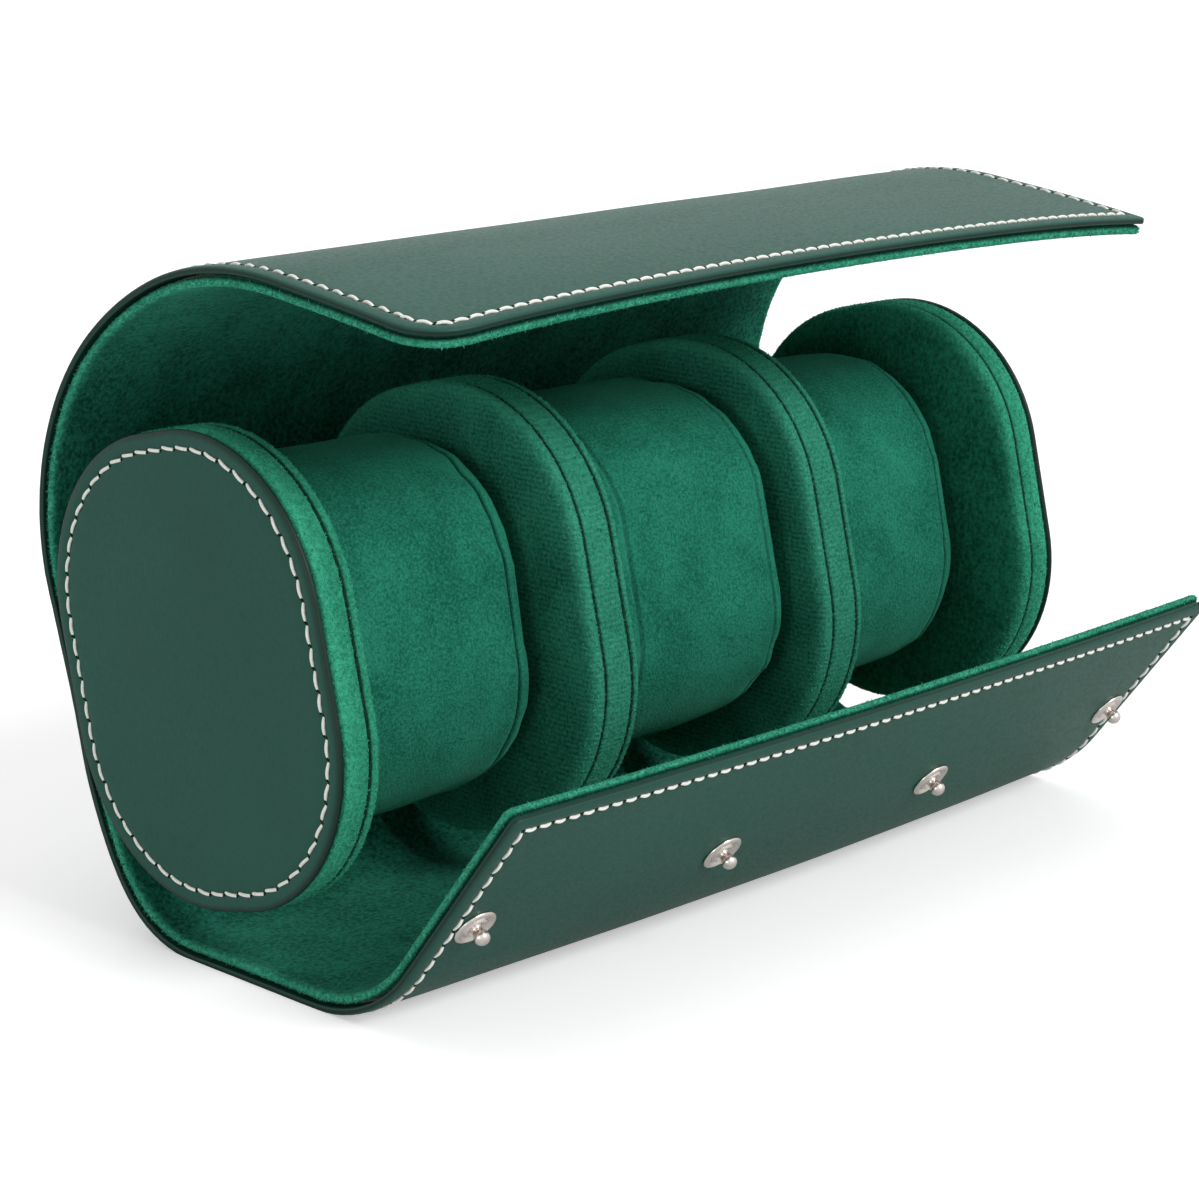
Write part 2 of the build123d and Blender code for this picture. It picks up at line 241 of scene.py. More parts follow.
def evaluated_mesh(obj):
    """A new mesh of an object as its modifiers leave it."""
    graph = bpy.context.evaluated_depsgraph_get()
    return bpy.data.meshes.new_from_object(obj.evaluated_get(graph), depsgraph=graph)


def mesh_points(mesh):
    """The points of a mesh as rows of x, y and z."""
    points = np.empty(len(mesh.vertices) * 3)
    mesh.vertices.foreach_get("co", points)
    return points.reshape(-1, 3)


def new_mesh_object(name, points_mm, faces, shares=None, normals=None):
    """A mesh object from points in millimetres, smooth, with named values at its points."""
    mesh = bpy.data.meshes.new(name)
    mesh.from_pydata((np.asarray(points_mm) * MM).tolist(), [], faces)
    mesh.polygons.foreach_set("use_smooth", [True] * len(mesh.polygons))
    for key, values in (shares or {}).items():
        attribute = mesh.attributes.new(key, "FLOAT", "POINT")
        attribute.data.foreach_set("value", np.asarray(values, np.float32))
    if normals is not None:
        mesh.normals_split_custom_set(normals.tolist())
    return linked_object(name, mesh)


def paint(obj, finish):
    """Gives a piece one material."""
    obj.data.materials.clear()
    obj.data.materials.append(finish)


# Points across a sheet, close together at its edge, where the seam runs
EDGE_STEPS = (0, 0.5, 1.1, 1.8, 2.3, 2.6, 2.85, 3.1, 3.4, 3.8, 4.6, 6, 8.5, 12, 17, 24)


def sheet_rows(low, high, cuts, step):
    """Places of the rows of a sheet: fine at both ends, even between, and one at each cut."""
    rows = [low + e for e in EDGE_STEPS] + [high - e for e in EDGE_STEPS]
    marks = [low + EDGE_STEPS[-1], *cuts, high - EDGE_STEPS[-1]]
    for a, b in zip(marks, marks[1:]):
        rows += list(np.linspace(a, b, max(2, int(round((b - a) / step)) + 1)))
    return np.unique(np.round(rows, 5))


def corner_cut(distance, radius):
    """How far a rounded corner draws the side in, at a distance from the free edge."""
    inside = np.clip(radius - distance, 0, radius)
    return radius - np.sqrt(np.maximum(radius**2 - inside**2, 0))


# Angles of the rings that round an edge off, how far the edge colour fades in from there, and how
# much the eight rings of a cut edge show the edge colour and the painted seam shade. On leather
# the edge colour is edge paint, darkest across the middle, where it is painted shade of a groove
# between two plies. On velvet it is a painted sheen highlight, and the seam shade is painted shade
# in the gap where the velvet meets the leather.
EDGE_TURNS = np.radians((25, 50, 75, 90))
EDGE_FADE = 0.8
EDGE_PAINT_AND_GROOVE_SHADE = ((0.05, 0.1, 0.35, 1, 1, 0.4, 0.5, 0.9), (0, 0, 0, 0, 0, 0, 0, 0))
FRAYED_SHEEN_AND_GAP_SHADE = ((0.2, 0.6, 1, 1, 1, 0.9, 0.6, 0.3), (1, 0.7, 0.2, 0, 0, 0, 0, 0))


def flat(x, place, to_edge):
    """The shape of a side of a layer that follows the outline."""
    return np.zeros(x.shape)


def grid_rim(rows, columns):
    """Row and column of each point on the rim of a grid, once round."""
    rim = [(0, j) for j in range(columns)] + [(i, columns - 1) for i in range(1, rows)]
    rim += [(rows - 1, j) for j in range(columns - 2, -1, -1)]
    return np.array(rim + [(i, 0) for i in range(rows - 2, 0, -1)])


def point_normals(points, faces):
    """The smooth normal of a shape at each of its points."""
    whole = new_mesh_object("whole", points, faces)
    normals = np.empty(len(points) * 3, np.float32)
    whole.data.vertex_normals.foreach_get("vector", normals)
    bpy.data.objects.remove(whole)
    return normals.reshape(-1, 3)


def cut_out(name, points, normals, faces, ends, shares):
    """One piece out of a whole, as smooth as the whole is, with level faces where it is cut."""
    loop_normals = [normals[v] for face in faces for v in face]
    for face in ends:
        a, b, c = (points[face[k]] for k in (0, len(face) // 3, 2 * len(face) // 3))
        level = np.cross(b - a, c - a)
        loop_normals += [level / max(np.linalg.norm(level), 1e-9)] * len(face)
    faces = faces + ends
    used = np.unique(np.concatenate([np.array(face) for face in faces]))
    new_id = np.full(len(points), -1)
    new_id[used] = np.arange(len(used))
    faces = [[int(new_id[v]) for v in face] for face in faces]
    shares = {key: values[used] for key, values in shares.items()}
    return new_mesh_object(name, points[used], faces, shares, np.array(loop_normals))


def wrap_strips(
    name, setback, top, bottom, rounding, steps, wave, ring_shares, face_shape=flat, back_shape=flat
):
    """One layer of the wrap as a closed rounded sheet, cut into one piece for each crease.

    It lies between two depths, and each side has a shape of its own on top. The steps are the
    widest spaces between its points, and the wave is how uneven its cut edge is.
    """
    low, high = -FRONT_END + setback + rounding, REAR_END - setback - rounding
    half = HALF_WRAP - setback - rounding
    places = sheet_rows(low, high, [strip.high for strip in STRIPS[:-1]], steps[0])
    across = sheet_rows(-half, half, [], steps[1])
    grid_x, grid_p = np.meshgrid(across, places)
    at_front = corner_cut(grid_p - low, SHARP_CORNER)
    near = np.maximum(corner_cut(high - grid_p, LID_NEAR_CORNER), at_front)
    far = np.maximum(corner_cut(high - grid_p, SHARP_CORNER), at_front)
    share = (grid_x + half) / (2 * half)
    grid_x = grid_x + near * (1 - share) ** 3 - far * share**3
    to_edge = np.minimum(
        np.minimum(grid_x - grid_x[:, :1], grid_x[:, -1:] - grid_x),
        np.minimum(grid_p - low, high - grid_p),
    ) + rounding

    # the two faces, and between them the rings of the rounded edge
    count_r, count_c = grid_x.shape
    rim = grid_rim(count_r, count_c)
    rim_row, rim_column = rim.T
    edge = np.stack([grid_x[rim_row, rim_column], grid_p[rim_row, rim_column]], -1)
    tangent = np.roll(edge, -1, 0) - np.roll(edge, 1, 0)
    way_out = np.stack([tangent[:, 1], -tangent[:, 0]], -1)
    way_out /= np.linalg.norm(way_out, axis=1)[:, None]
    way_out *= rounding + wave * ripple(edge[:, 0], edge[:, 1], 4.0, 3)[:, None]
    turns = [(math.sin(a), top + rounding * (1 - math.cos(a))) for a in EDGE_TURNS]
    turns += [(math.sin(a), bottom - rounding * (1 - math.cos(a))) for a in EDGE_TURNS[::-1]]
    layers = [(grid_x, grid_p, top + face_shape(grid_x, grid_p, to_edge))]
    layers += [(*(edge + way_out * reach).T, np.full(len(edge), depth)) for reach, depth in turns]
    layers.append((grid_x, grid_p, bottom + back_shape(grid_x, grid_p, to_edge)))
    x, place, depth = (np.concatenate([layer[k].ravel() for layer in layers]) for k in range(3))
    points = on_wrap(x, place, depth)[0]

    # their faces, each with the row that it belongs to
    size, loops = grid_x.size, len(rim)
    top_id = np.arange(size).reshape(count_r, count_c)
    bottom_id = size + loops * len(turns) + top_id
    ring_ids = [size + loops * k + np.arange(loops) for k in range(len(turns))]
    rim_ids = [top_id[rim_row, rim_column], *ring_ids, bottom_id[rim_row, rim_column]]
    quads, quad_row = [], [np.repeat(np.arange(count_r - 1), count_c - 1)] * 2
    for ids, order in ((top_id, 1), (bottom_id, -1)):
        q = np.stack([ids[:-1, :-1], ids[1:, :-1], ids[1:, 1:], ids[:-1, 1:]], -1).reshape(-1, 4)
        quads.append(q[:, ::order])
    follow = np.roll(np.arange(loops), -1)
    first = np.minimum(rim_row, rim_row[follow])
    across_end = (rim_row == rim_row[follow]) & (first > 0)
    for a, b in zip(rim_ids, rim_ids[1:]):
        quads.append(np.stack([a, a[follow], b[follow], b], -1))
        quad_row.append(np.where(across_end, first - 1, first))
    quads, quad_row = np.concatenate(quads), np.concatenate(quad_row)

    # each point's share of the edge colour, which is edge paint on leather and a painted sheen
    # highlight on velvet, and its share of the painted seam shade
    shares = {"edge_share": np.zeros(len(points)), "seam_share": np.zeros(len(points))}
    for values, rings in zip(shares.values(), ring_shares):
        for ids, ring in zip(ring_ids, rings):
            values[ids] = ring
    near_edge = np.clip(1 - (to_edge - rounding) / EDGE_FADE, 0, 1)
    shares["edge_share"][top_id] = near_edge * ring_shares[0][0]
    shares["edge_share"][bottom_id] = near_edge * ring_shares[0][-1]

    normals = point_normals(points, quads.tolist())
    side_rim = {(int(i), int(j)): k for k, (i, j) in enumerate(rim)}
    pieces = []
    for strip in STRIPS:
        first = int(np.argmin(np.abs(places - max(strip.low, low))))
        last = int(np.argmin(np.abs(places - min(strip.high, high))))
        faces = quads[(quad_row >= first) & (quad_row < last)].tolist()
        cuts = []
        for row, cut in ((first, strip.low > low), (last, strip.high < high)):
            if not cut:
                continue
            ends = [
                [top_id[row, j], bottom_id[row, j], bottom_id[row, j + 1], top_id[row, j + 1]]
                for j in range(count_c - 1)
            ]
            ends.append([ids[side_rim[(row, 0)]] for ids in rim_ids])
            ends.append([ids[side_rim[(row, count_c - 1)]] for ids in reversed(rim_ids)])
            cuts += [end if row == last else end[::-1] for end in ends]
        piece = cut_out(name + "_" + strip.name, points, normals, faces, cuts, shares)
        pieces.append((piece, strip))
    return pieces


def blend_over(piece, strip):
    """Bakes a piece's place into its points. The ends of its crease are worked out, but nothing
    uses them.
    """
    places = np.array([strip.crease - BEND_REACH, strip.crease + BEND_REACH])
    ends = on_wrap(0.0, places, WRAP)[0] * MM
    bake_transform(piece)


def wrap_layer(nodes, finish, slot, **shape):
    """Makes one layer of the wrap in pieces, one for each crease, in place of its solids."""
    made = wrap_strips(**shape)
    for piece, strip in made:
        paint(piece, material(finish))
        # the body that holds the caps is the core, and its panel of the wrap is the spine
        bodies = (strip.front_body, strip.rear_body)
        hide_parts(*(body.replace("core", "spine") + nodes for body in bodies))
        blend_over(piece, strip)
    return made


# Ovals
def oval_ring(size, inset, count=96):
    """Points round an oval of a width, a height and a corner, drawn in all round by an inset."""
    corner = max(size[2] - inset, LEAST_CORNER)
    flat_w, flat_h = size[0] / 2 - inset - corner, size[1] / 2 - inset - corner
    marks = []
    for turn, (side_w, side_h) in enumerate(((1, 1), (-1, 1), (-1, -1), (1, -1))):
        angle = np.radians(90.0 * turn + np.linspace(0, 90, count // 4))
        w, h = side_w * flat_w + corner * np.cos(angle), side_h * flat_h + corner * np.sin(angle)
        marks.append(np.stack([w, h], -1))
    return np.concatenate(marks)


def place_oval(x, marks, back=0.0, up=0.0):
    """Puts points of an oval, given back and up its own plane, into the case, in millimetres."""
    a, b = marks[:, 0] + back, marks[:, 1] + up
    y = OVAL_CENTRE[0] + a * math.cos(OVAL_LEAN) + b * math.sin(OVAL_LEAN)
    z = OVAL_CENTRE[1] - a * math.sin(OVAL_LEAN) + b * math.cos(OVAL_LEAN)
    return np.stack([np.broadcast_to(x, y.shape), y, z], -1)


def oval_seam(x, inset):
    """A seam's closed line round an oval, and the way out of the velvet at each point."""
    marks = oval_ring(OVAL, inset, 288)
    marks = marks[np.linalg.norm(marks - np.roll(marks, 1, 0), axis=1) > 1e-6]
    along = np.roll(marks, -1, 0) - np.roll(marks, 1, 0)
    out = np.stack([along[:, 1], -along[:, 0]], -1)
    out /= np.linalg.norm(out, axis=1)[:, None]
    ups = place_oval(x, marks + out) - place_oval(x, marks)
    loop = np.concatenate([place_oval(x, marks), place_oval(x, marks[:1])])
    return loop, np.concatenate([ups, ups[:1]])


def oval_body(name, size, profile, back=0.0, up=0.0, count=96, uneven=None, seam_shown=1.0):
    """A closed body through ovals, from rows of x, inset, and if any, shares of edge colour and of
    painted seam shade.
    """
    rings, shares = [], []
    # an oval drawn in this far has hardly any corner left, and only shrinks from there on
    deepest = size[2] - 1.5
    for x, inset, *shown in profile:
        edge_share, seam_share = shown or (0, 0)
        shrink = 1.0
        if inset > deepest:
            shrink = max(0.02, 1 - (inset - deepest) / (min(size[:2]) / 2 - deepest))
            inset = deepest
        marks = oval_ring(size, inset, count) * shrink
        points = place_oval(x, marks, back, up)
        if uneven is not None:
            points = uneven(points, marks)
        rings.append(points)
        shares.append(np.tile([edge_share, seam_share * seam_shown], (count, 1)))
    points = np.concatenate(rings)
    follow = np.roll(np.arange(count), -1)
    faces = []
    for k in range(len(rings) - 1):
        a, b = k * count + np.arange(count), (k + 1) * count + np.arange(count)
        faces += np.stack([a, a[follow], b[follow], b], -1).tolist()
    first, last = len(points), len(points) + 1
    points = np.concatenate([points, [rings[0].mean(0)], [rings[-1].mean(0)]])
    end = (len(rings) - 1) * count
    faces += [[first, int(follow[k]), k] for k in range(count)]
    faces += [[last, end + k, end + int(follow[k])] for k in range(count)]
    edge, seam = np.concatenate(shares + [np.zeros((2, 2))]).T
    obj = new_mesh_object(name, points, faces, {"edge_share": edge, "seam_share": seam})
    outward_faces(obj)
    return obj


def mirrored(half, centre):
    """Rows of a profile for both sides of a centre, from those of one side."""
    rows = [(centre - x, *rest) for x, *rest in reversed(half[1:])]
    return rows + [(centre + x, *rest) for x, *rest in half]


def outward_faces(obj):
    """Turns all faces of a closed piece to the outside."""
    work = bmesh.new()
    work.from_mesh(obj.data)
    bmesh.ops.recalc_face_normals(work, faces=work.faces)
    work.to_mesh(obj.data)
    work.free()


# Materials
def fill_inputs(tree, node, inputs):
    """Fills a node's inputs with values, with other sockets, or one input with several of them."""
    for key, value in inputs.items():
        sources = value if isinstance(value, (list, tuple)) else [value]
        if isinstance(sources[0], bpy.types.NodeSocket):
            for source in sources:
                tree.links.new(source, node.inputs[key])
        else:
            node.inputs[key].default_value = value


def add_node(tree, kind, output=None, inputs=None, **settings):
    """Adds a node with its settings and inputs. Gives back the output asked for, or the node."""
    node = tree.nodes.new(kind)
    for name, value in settings.items():
        setattr(node, name, value)
    fill_inputs(tree, node, inputs or {})
    return node if output is None else node.outputs[output]


def new_material(name):
    """A material, with its tree and its surface shader."""
    finish = bpy.data.materials.new(name)
    finish.use_nodes = True
    return finish, finish.node_tree, finish.node_tree.nodes["Principled BSDF"]


def coated_leather():
    """Polyurethane-coated split leather, finely embossed and satin, with painted cut edges that
    carry a painted shade line across their middle.
    """
    finish, tree, shader = new_material("pu_coated_split_leather_satin")
    place = add_node(tree, "ShaderNodeTexCoord", "Object")
    # slow change of tone over about 40 mm, as the dye takes unevenly
    dye = {"Vector": place, "Scale": 25.0, "Detail": 3.0}
    tone = add_node(tree, "ShaderNodeTexNoise", "Fac", dye)
    coat = {"Factor": tone, "A": linear("#0F4136"), "B": linear("#165043")}
    body = add_node(tree, "ShaderNodeMix", "Result", coat, data_type="RGBA")
    # embossed grain, cells of about 0.8 mm
    cells = {"Vector": place, "Scale": 1250.0, "Randomness": 1.0}
    grain = add_node(tree, "ShaderNodeTexVoronoi", "Distance", cells)
    fine = {"Vector": place, "Scale": 2500.0, "Detail": 2.0}
    pores = add_node(tree, "ShaderNodeTexNoise", "Fac", fine)
    # edge paint, the leather's own colour, darkest across the middle of the edge, where it is
    # painted shade of a groove between two plies
    edge = add_node(tree, "ShaderNodeAttribute", "Fac", attribute_name="edge_share")
    coat = {"Factor": edge, "A": body, "B": linear("#0A261E")}
    painted = add_node(tree, "ShaderNodeMix", "Result", coat, data_type="RGBA")
    satin = {"Value": grain, "From Min": 0.0, "From Max": 0.9, "To Min": 0.4, "To Max": 0.55}
    rough = add_node(tree, "ShaderNodeMapRange", "Result", satin)
    relief = add_node(tree, "ShaderNodeMath", "Value", {0: grain, 1: pores}, operation="ADD")
    emboss = {"Strength": 0.25, "Distance": 0.00007, "Height": relief}
    bump = add_node(tree, "ShaderNodeBump", "Normal", emboss)
    surface = {"Roughness": rough, "Normal": bump, "Specular IOR Level": 0.23}
    fill_inputs(tree, shader, {"Base Color": painted, **surface})
    return finish


def pile_velvet(name, dark, light, edge_sheen_colour, ribbed=0.0, tuft=1150.0, relief=0.8):
    """Cut-pile polyester velvet: short upright fibres that lighten at grazing angles, with a
    painted sheen highlight on its edges and painted shade in its seams.
    """
    finish, tree, shader = new_material(name)
    place = add_node(tree, "ShaderNodeTexCoord", "Object")
    # nap brushed in patches of about 12 mm
    brushed = {"Vector": place, "Scale": 80.0, "Detail": 3.0, "Distortion": 0.4}
    nap = add_node(tree, "ShaderNodeTexNoise", "Fac", brushed)
    # tufts of 0.5 to 0.9 mm, drawn coarser than the real fibres so that they show
    bundles = {"Vector": place, "Scale": tuft, "Detail": 2.0, "Roughness": 0.7}
    tufts = add_node(tree, "ShaderNodeTexNoise", "Fac", bundles)
    both = {0: nap, 1: 0.45, 2: tufts}
    mixed = add_node(tree, "ShaderNodeMath", "Value", both, operation="MULTIPLY_ADD")
    height = tufts
    if ribbed:
        # knitted ribs about 0.9 mm apart
        knit = {"Vector": place, "Scale": 330.0, "Distortion": 2.0, "Detail": 1.0}
        ribs = add_node(tree, "ShaderNodeTexWave", "Fac", knit, bands_direction="Z")
        both = {0: ribs, 1: ribbed, 2: mixed}
        mixed = add_node(tree, "ShaderNodeMath", "Value", both, operation="MULTIPLY_ADD")
        height = mixed
    span = {"Value": mixed, "From Min": 0.54, "From Max": 0.9 + ribbed}
    colour = add_node(tree, "ShaderNodeMapRange", "Result", span)
    edge = add_node(tree, "ShaderNodeAttribute", "Fac", attribute_name="edge_share")
    seam = add_node(tree, "ShaderNodeAttribute", "Fac", attribute_name="seam_share")
    tones = {"Factor": colour, "A": linear(dark), "B": linear(light)}
    body = add_node(tree, "ShaderNodeMix", "Result", tones, data_type="RGBA")
    # the lighter edge colour is a painted sheen highlight
    tones = {"Factor": colour, "A": linear(light), "B": linear(edge_sheen_colour)}
    sheen_tip = add_node(tree, "ShaderNodeMix", "Result", tones, data_type="RGBA")
    # the edges are painted lighter as above, and the sunk seams and the gap at the leather get a
    # painted shade, nearly black
    for share, over in ((edge, sheen_tip), (seam, linear("#06231B"))):
        tones = {"Factor": share, "A": body, "B": over}
        body = add_node(tree, "ShaderNodeMix", "Result", tones, data_type="RGBA")
    tufted = {"Strength": relief, "Distance": 0.0005, "Height": height}
    surface = {
        "Base Color": body,
        "Normal": add_node(tree, "ShaderNodeBump", "Normal", tufted),
        "Roughness": 1.0,
        "Specular IOR Level": 0.05,
        "Sheen Weight": 0.35,
        "Sheen Roughness": 0.45,
        "Sheen Tint": linear("#5FC4A4"),
    }
    fill_inputs(tree, shader, surface)
    return finish


def pile_fibres():
    """Loose ends of the polyester pile, each a little lighter or darker than the next."""
    finish, tree, shader = new_material("cut_polyester_pile_ends")
    each = add_node(tree, "ShaderNodeNewGeometry", "Random Per Island")
    tones = {"Factor": each, "A": linear("#1A7056"), "B": linear("#48B18E")}
    colour = add_node(tree, "ShaderNodeMix", "Result", tones, data_type="RGBA")
    surface = {"Base Color": colour, "Roughness": 0.9, "Specular IOR Level": 0.1}
    fill_inputs(tree, shader, surface)
    return finish


def mottled(name, scale, detail, dark, light, surface):
    """A plain material whose colour wanders between two. Also gives its tree and its noise."""
    finish, tree, shader = new_material(name)
    place = add_node(tree, "ShaderNodeTexCoord", "Object")
    spots = {"Vector": place, "Scale": scale, "Detail": detail}
    wander = add_node(tree, "ShaderNodeTexNoise", "Fac", spots)
    tones = {"Factor": wander, "A": linear(dark), "B": linear(light)}
    colour = add_node(tree, "ShaderNodeMix", "Result", tones, data_type="RGBA")
    fill_inputs(tree, shader, {"Base Color": colour, **surface})
    return finish, tree, shader, wander


def needle_hole():
    """Painted shade of the hole that the needle leaves at each end of a stitch, shown as a flat
    dark blob on the leather.
    """
    surface = {"Roughness": 0.95, "Specular IOR Level": 0.05}
    return mottled("pierced_leather_hole", 1500.0, 1.0, "#071913", "#12332A", surface)[0]


def polyester_thread(name, dark, light):
    """Bonded polyester sewing thread, with the plies of its twist about 0.4 mm apart."""
    surface = {"Roughness": 0.7, "Specular IOR Level": 0.1}
    finish, tree, shader, plies = mottled(name, 2600.0, 2.0, dark, light, surface)
    twist = {"Strength": 0.5, "Distance": 0.0001, "Height": plies}
    fill_inputs(tree, shader, {"Normal": add_node(tree, "ShaderNodeBump", "Normal", twist)})
    return finish


def nickel_plate():
    """Stamped brass with satin nickel plate, slightly warm, with faint wear in 1 mm spots."""
    finish, tree, shader, wear = mottled(
        "satin_nickel_plated_brass", 900.0, 4.0, "#CDC3BD", "#E0D8D3", {"Metallic": 1.0}
    )
    worn = {"Value": wear, "From Min": 0.3, "From Max": 0.7, "To Min": 0.2, "To Max": 0.3}
    rough = add_node(tree, "ShaderNodeMapRange", "Result", worn)
    fill_inputs(tree, shader, {"Roughness": rough})
    return finish


def grey_board():
    """Pressed paper board, plain and matt, with fibres of about 1.4 mm."""
    surface = {"Roughness": 0.9}
    return mottled("pressed_grey_board", 700.0, 5.0, "#6E685C", "#958E80", surface)[0]


# How each finish is made. The dividers' velvet has a knit ground that shows as ribs, and that of
# the cushions has the shortest pile.
FINISHES = {
    "leather": (coated_leather,),
    # each velvet's third colour is its painted sheen highlight on edges, rims and the ridges beside
    # seams
    "lining": (pile_velvet, "cut_pile_velvet_lining", "#083F31", "#2A826A", "#48AE8C"),
    "rim": (pile_velvet, "cut_pile_velvet_rim", "#125540", "#2F8D70", "#3FAA86"),
    "face": (pile_velvet, "knit_backed_velvet", "#0C4838", "#368F75", "#45A587", 0.12, 1500.0),
    "cushion": (
        pile_velvet, "short_pile_velvet", "#115542", "#2A846B", "#349478", 0.0, 1900.0, 0.5
    ),
    "fibres": (pile_fibres,),
    "hole": (needle_hole,),
    "thread": (polyester_thread, "bonded_polyester_thread_white", "#D8D7CF", "#FBFAF5"),
    "green thread": (polyester_thread, "bonded_polyester_thread_green", "#07211A", "#103428"),
    "metal": (nickel_plate,),
    "board": (grey_board,),
}


@functools.cache
def material(kind):
    """The finish of a kind, made when it is first asked for."""
    maker, *values = FINISHES[kind]
    return maker(*values)


# Node trees that grow repeated parts on a piece
ATTRIBUTE = "GeometryNodeInputNamedAttribute"


def node_group(name, inputs, output):
    """A new tree that turns one shape into another, and what it is given."""
    tree = bpy.data.node_groups.new(name, "GeometryNodeTree")
    for key, kind in inputs.items():
        tree.interface.new_socket(key, in_out="INPUT", socket_type="NodeSocket" + kind)
    tree.interface.new_socket(output, in_out="OUTPUT", socket_type="NodeSocketGeometry")
    return tree, add_node(tree, "NodeGroupInput").outputs


def swayed(tree, turn, least, most, seed):
    """A turn with a small random one on top of it, between two limits."""
    limits = {"Min": least, "Max": most, "Seed": seed}
    sway = add_node(tree, "FunctionNodeRandomValue", "Value", limits, data_type="FLOAT_VECTOR")
    own = add_node(tree, "FunctionNodeEulerToRotation", "Rotation", {"Euler": sway})
    both = {"Rotation": turn, "Rotate By": own}
    return add_node(tree, "FunctionNodeRotateRotation", "Rotation", both, rotation_space="LOCAL")


def planted(tree, points, shape, turn, finish, **more):
    """Copies of a shape on points, made real and given their material."""
    plan = {"Points": points, "Instance": shape, "Rotation": turn, **more}
    copies = add_node(tree, "GeometryNodeInstanceOnPoints", "Instances", plan)
    real = add_node(tree, "GeometryNodeRealizeInstances", "Geometry", {"Geometry": copies})
    coat = {"Geometry": real, "Material": finish}
    return add_node(tree, "GeometryNodeSetMaterial", "Geometry", coat)


@functools.cache
def stitch_tree():
    """Nodes that sew one rounded stitch, with a flat dark blob of painted needle-hole shade at each
    end, at each step along a seam.
    """
    inputs = {"Seam": "Geometry", "Pitch": "Float", "Stitch Length": "Float"}
    inputs |= {"Thread Radius": "Float", "Hole Radius": "Float", "Seed": "Int"}
    inputs |= {"Thread": "Material", "Hole": "Material"}
    tree, given = node_group("lock_stitches", inputs, "Stitches")
    line = add_node(tree, "GeometryNodeMeshToCurve", "Curve", {"Mesh": given["Seam"]})
    paces = {"Curve": line, "Length": given["Pitch"]}
    steps = add_node(tree, "GeometryNodeResampleCurve", "Curve", paces, mode="LENGTH")
    # the thread comes up at the back, bows over the leather and goes down at the front
    reach, back, sink, rise = (
        add_node(tree, "ShaderNodeMath", "Value", {0: given[key], 1: share}, operation="MULTIPLY")
        for key, share in (
            ("Stitch Length", 0.5),
            ("Stitch Length", -0.5),
            ("Thread Radius", -0.9),
            ("Thread Radius", 1.7),
        )
    )
    bow = {"Resolution": 7}
    for key, spot in (
        ("Start", {"X": back, "Z": sink}),
        ("Middle", {"Z": rise}),
        ("End", {"X": reach, "Z": sink}),
    ):
        bow[key] = add_node(tree, "ShaderNodeCombineXYZ", "Vector", spot)
    bow = add_node(tree, "GeometryNodeCurveQuadraticBezier", "Curve", bow)
    ring = {"Resolution": 7, "Radius": given["Thread Radius"]}
    thread = add_node(tree, "GeometryNodeCurvePrimitiveCircle", "Curve", ring)
    tube = {"Curve": bow, "Profile Curve": thread, "Fill Caps": True}
    stitch = add_node(tree, "GeometryNodeCurveToMesh", "Mesh", tube)
    # a flattened ball at each end of the stitch, dark with painted shade of the needle hole
    ball = {"Radius": given["Hole Radius"], "Subdivisions": 1}
    ball = add_node(tree, "GeometryNodeMeshIcoSphere", "Mesh", ball)
    holes = []
    for end in (reach, back):
        spot = add_node(tree, "ShaderNodeCombineXYZ", "Vector", {"X": end})
        moved = {"Geometry": ball, "Translation": spot, "Scale": (1.2, 1.0, 0.35)}
        holes.append(add_node(tree, "GeometryNodeTransform", "Geometry", moved))
    holes = add_node(tree, "GeometryNodeJoinGeometry", "Geometry", {"Geometry": holes})
    up = add_node(tree, ATTRIBUTE, "Attribute", {"Name": "up"}, data_type="FLOAT_VECTOR")
    along = add_node(tree, "GeometryNodeInputTangent", "Tangent")
    stand = add_node(
        tree,
        "FunctionNodeAxesToRotation",
        "Rotation",
        {"Primary Axis": up, "Secondary Axis": along},
        primary_axis="Z",
        secondary_axis="X",
    )
    turn = swayed(tree, stand, (0.0, 0.0, -0.2), (0.0, 0.0, -0.08), given["Seed"])
    finished = [
        planted(tree, steps, shape, turn, given[finish])
        for shape, finish in ((stitch, "Thread"), (holes, "Hole"))
    ]
    both = add_node(tree, "GeometryNodeJoinGeometry", "Geometry", {"Geometry": finished})
    even = add_node(tree, "GeometryNodeSetShadeSmooth", "Geometry", {"Geometry": both})
    add_node(tree, "NodeGroupOutput", None, {"Stitches": even})
    return tree


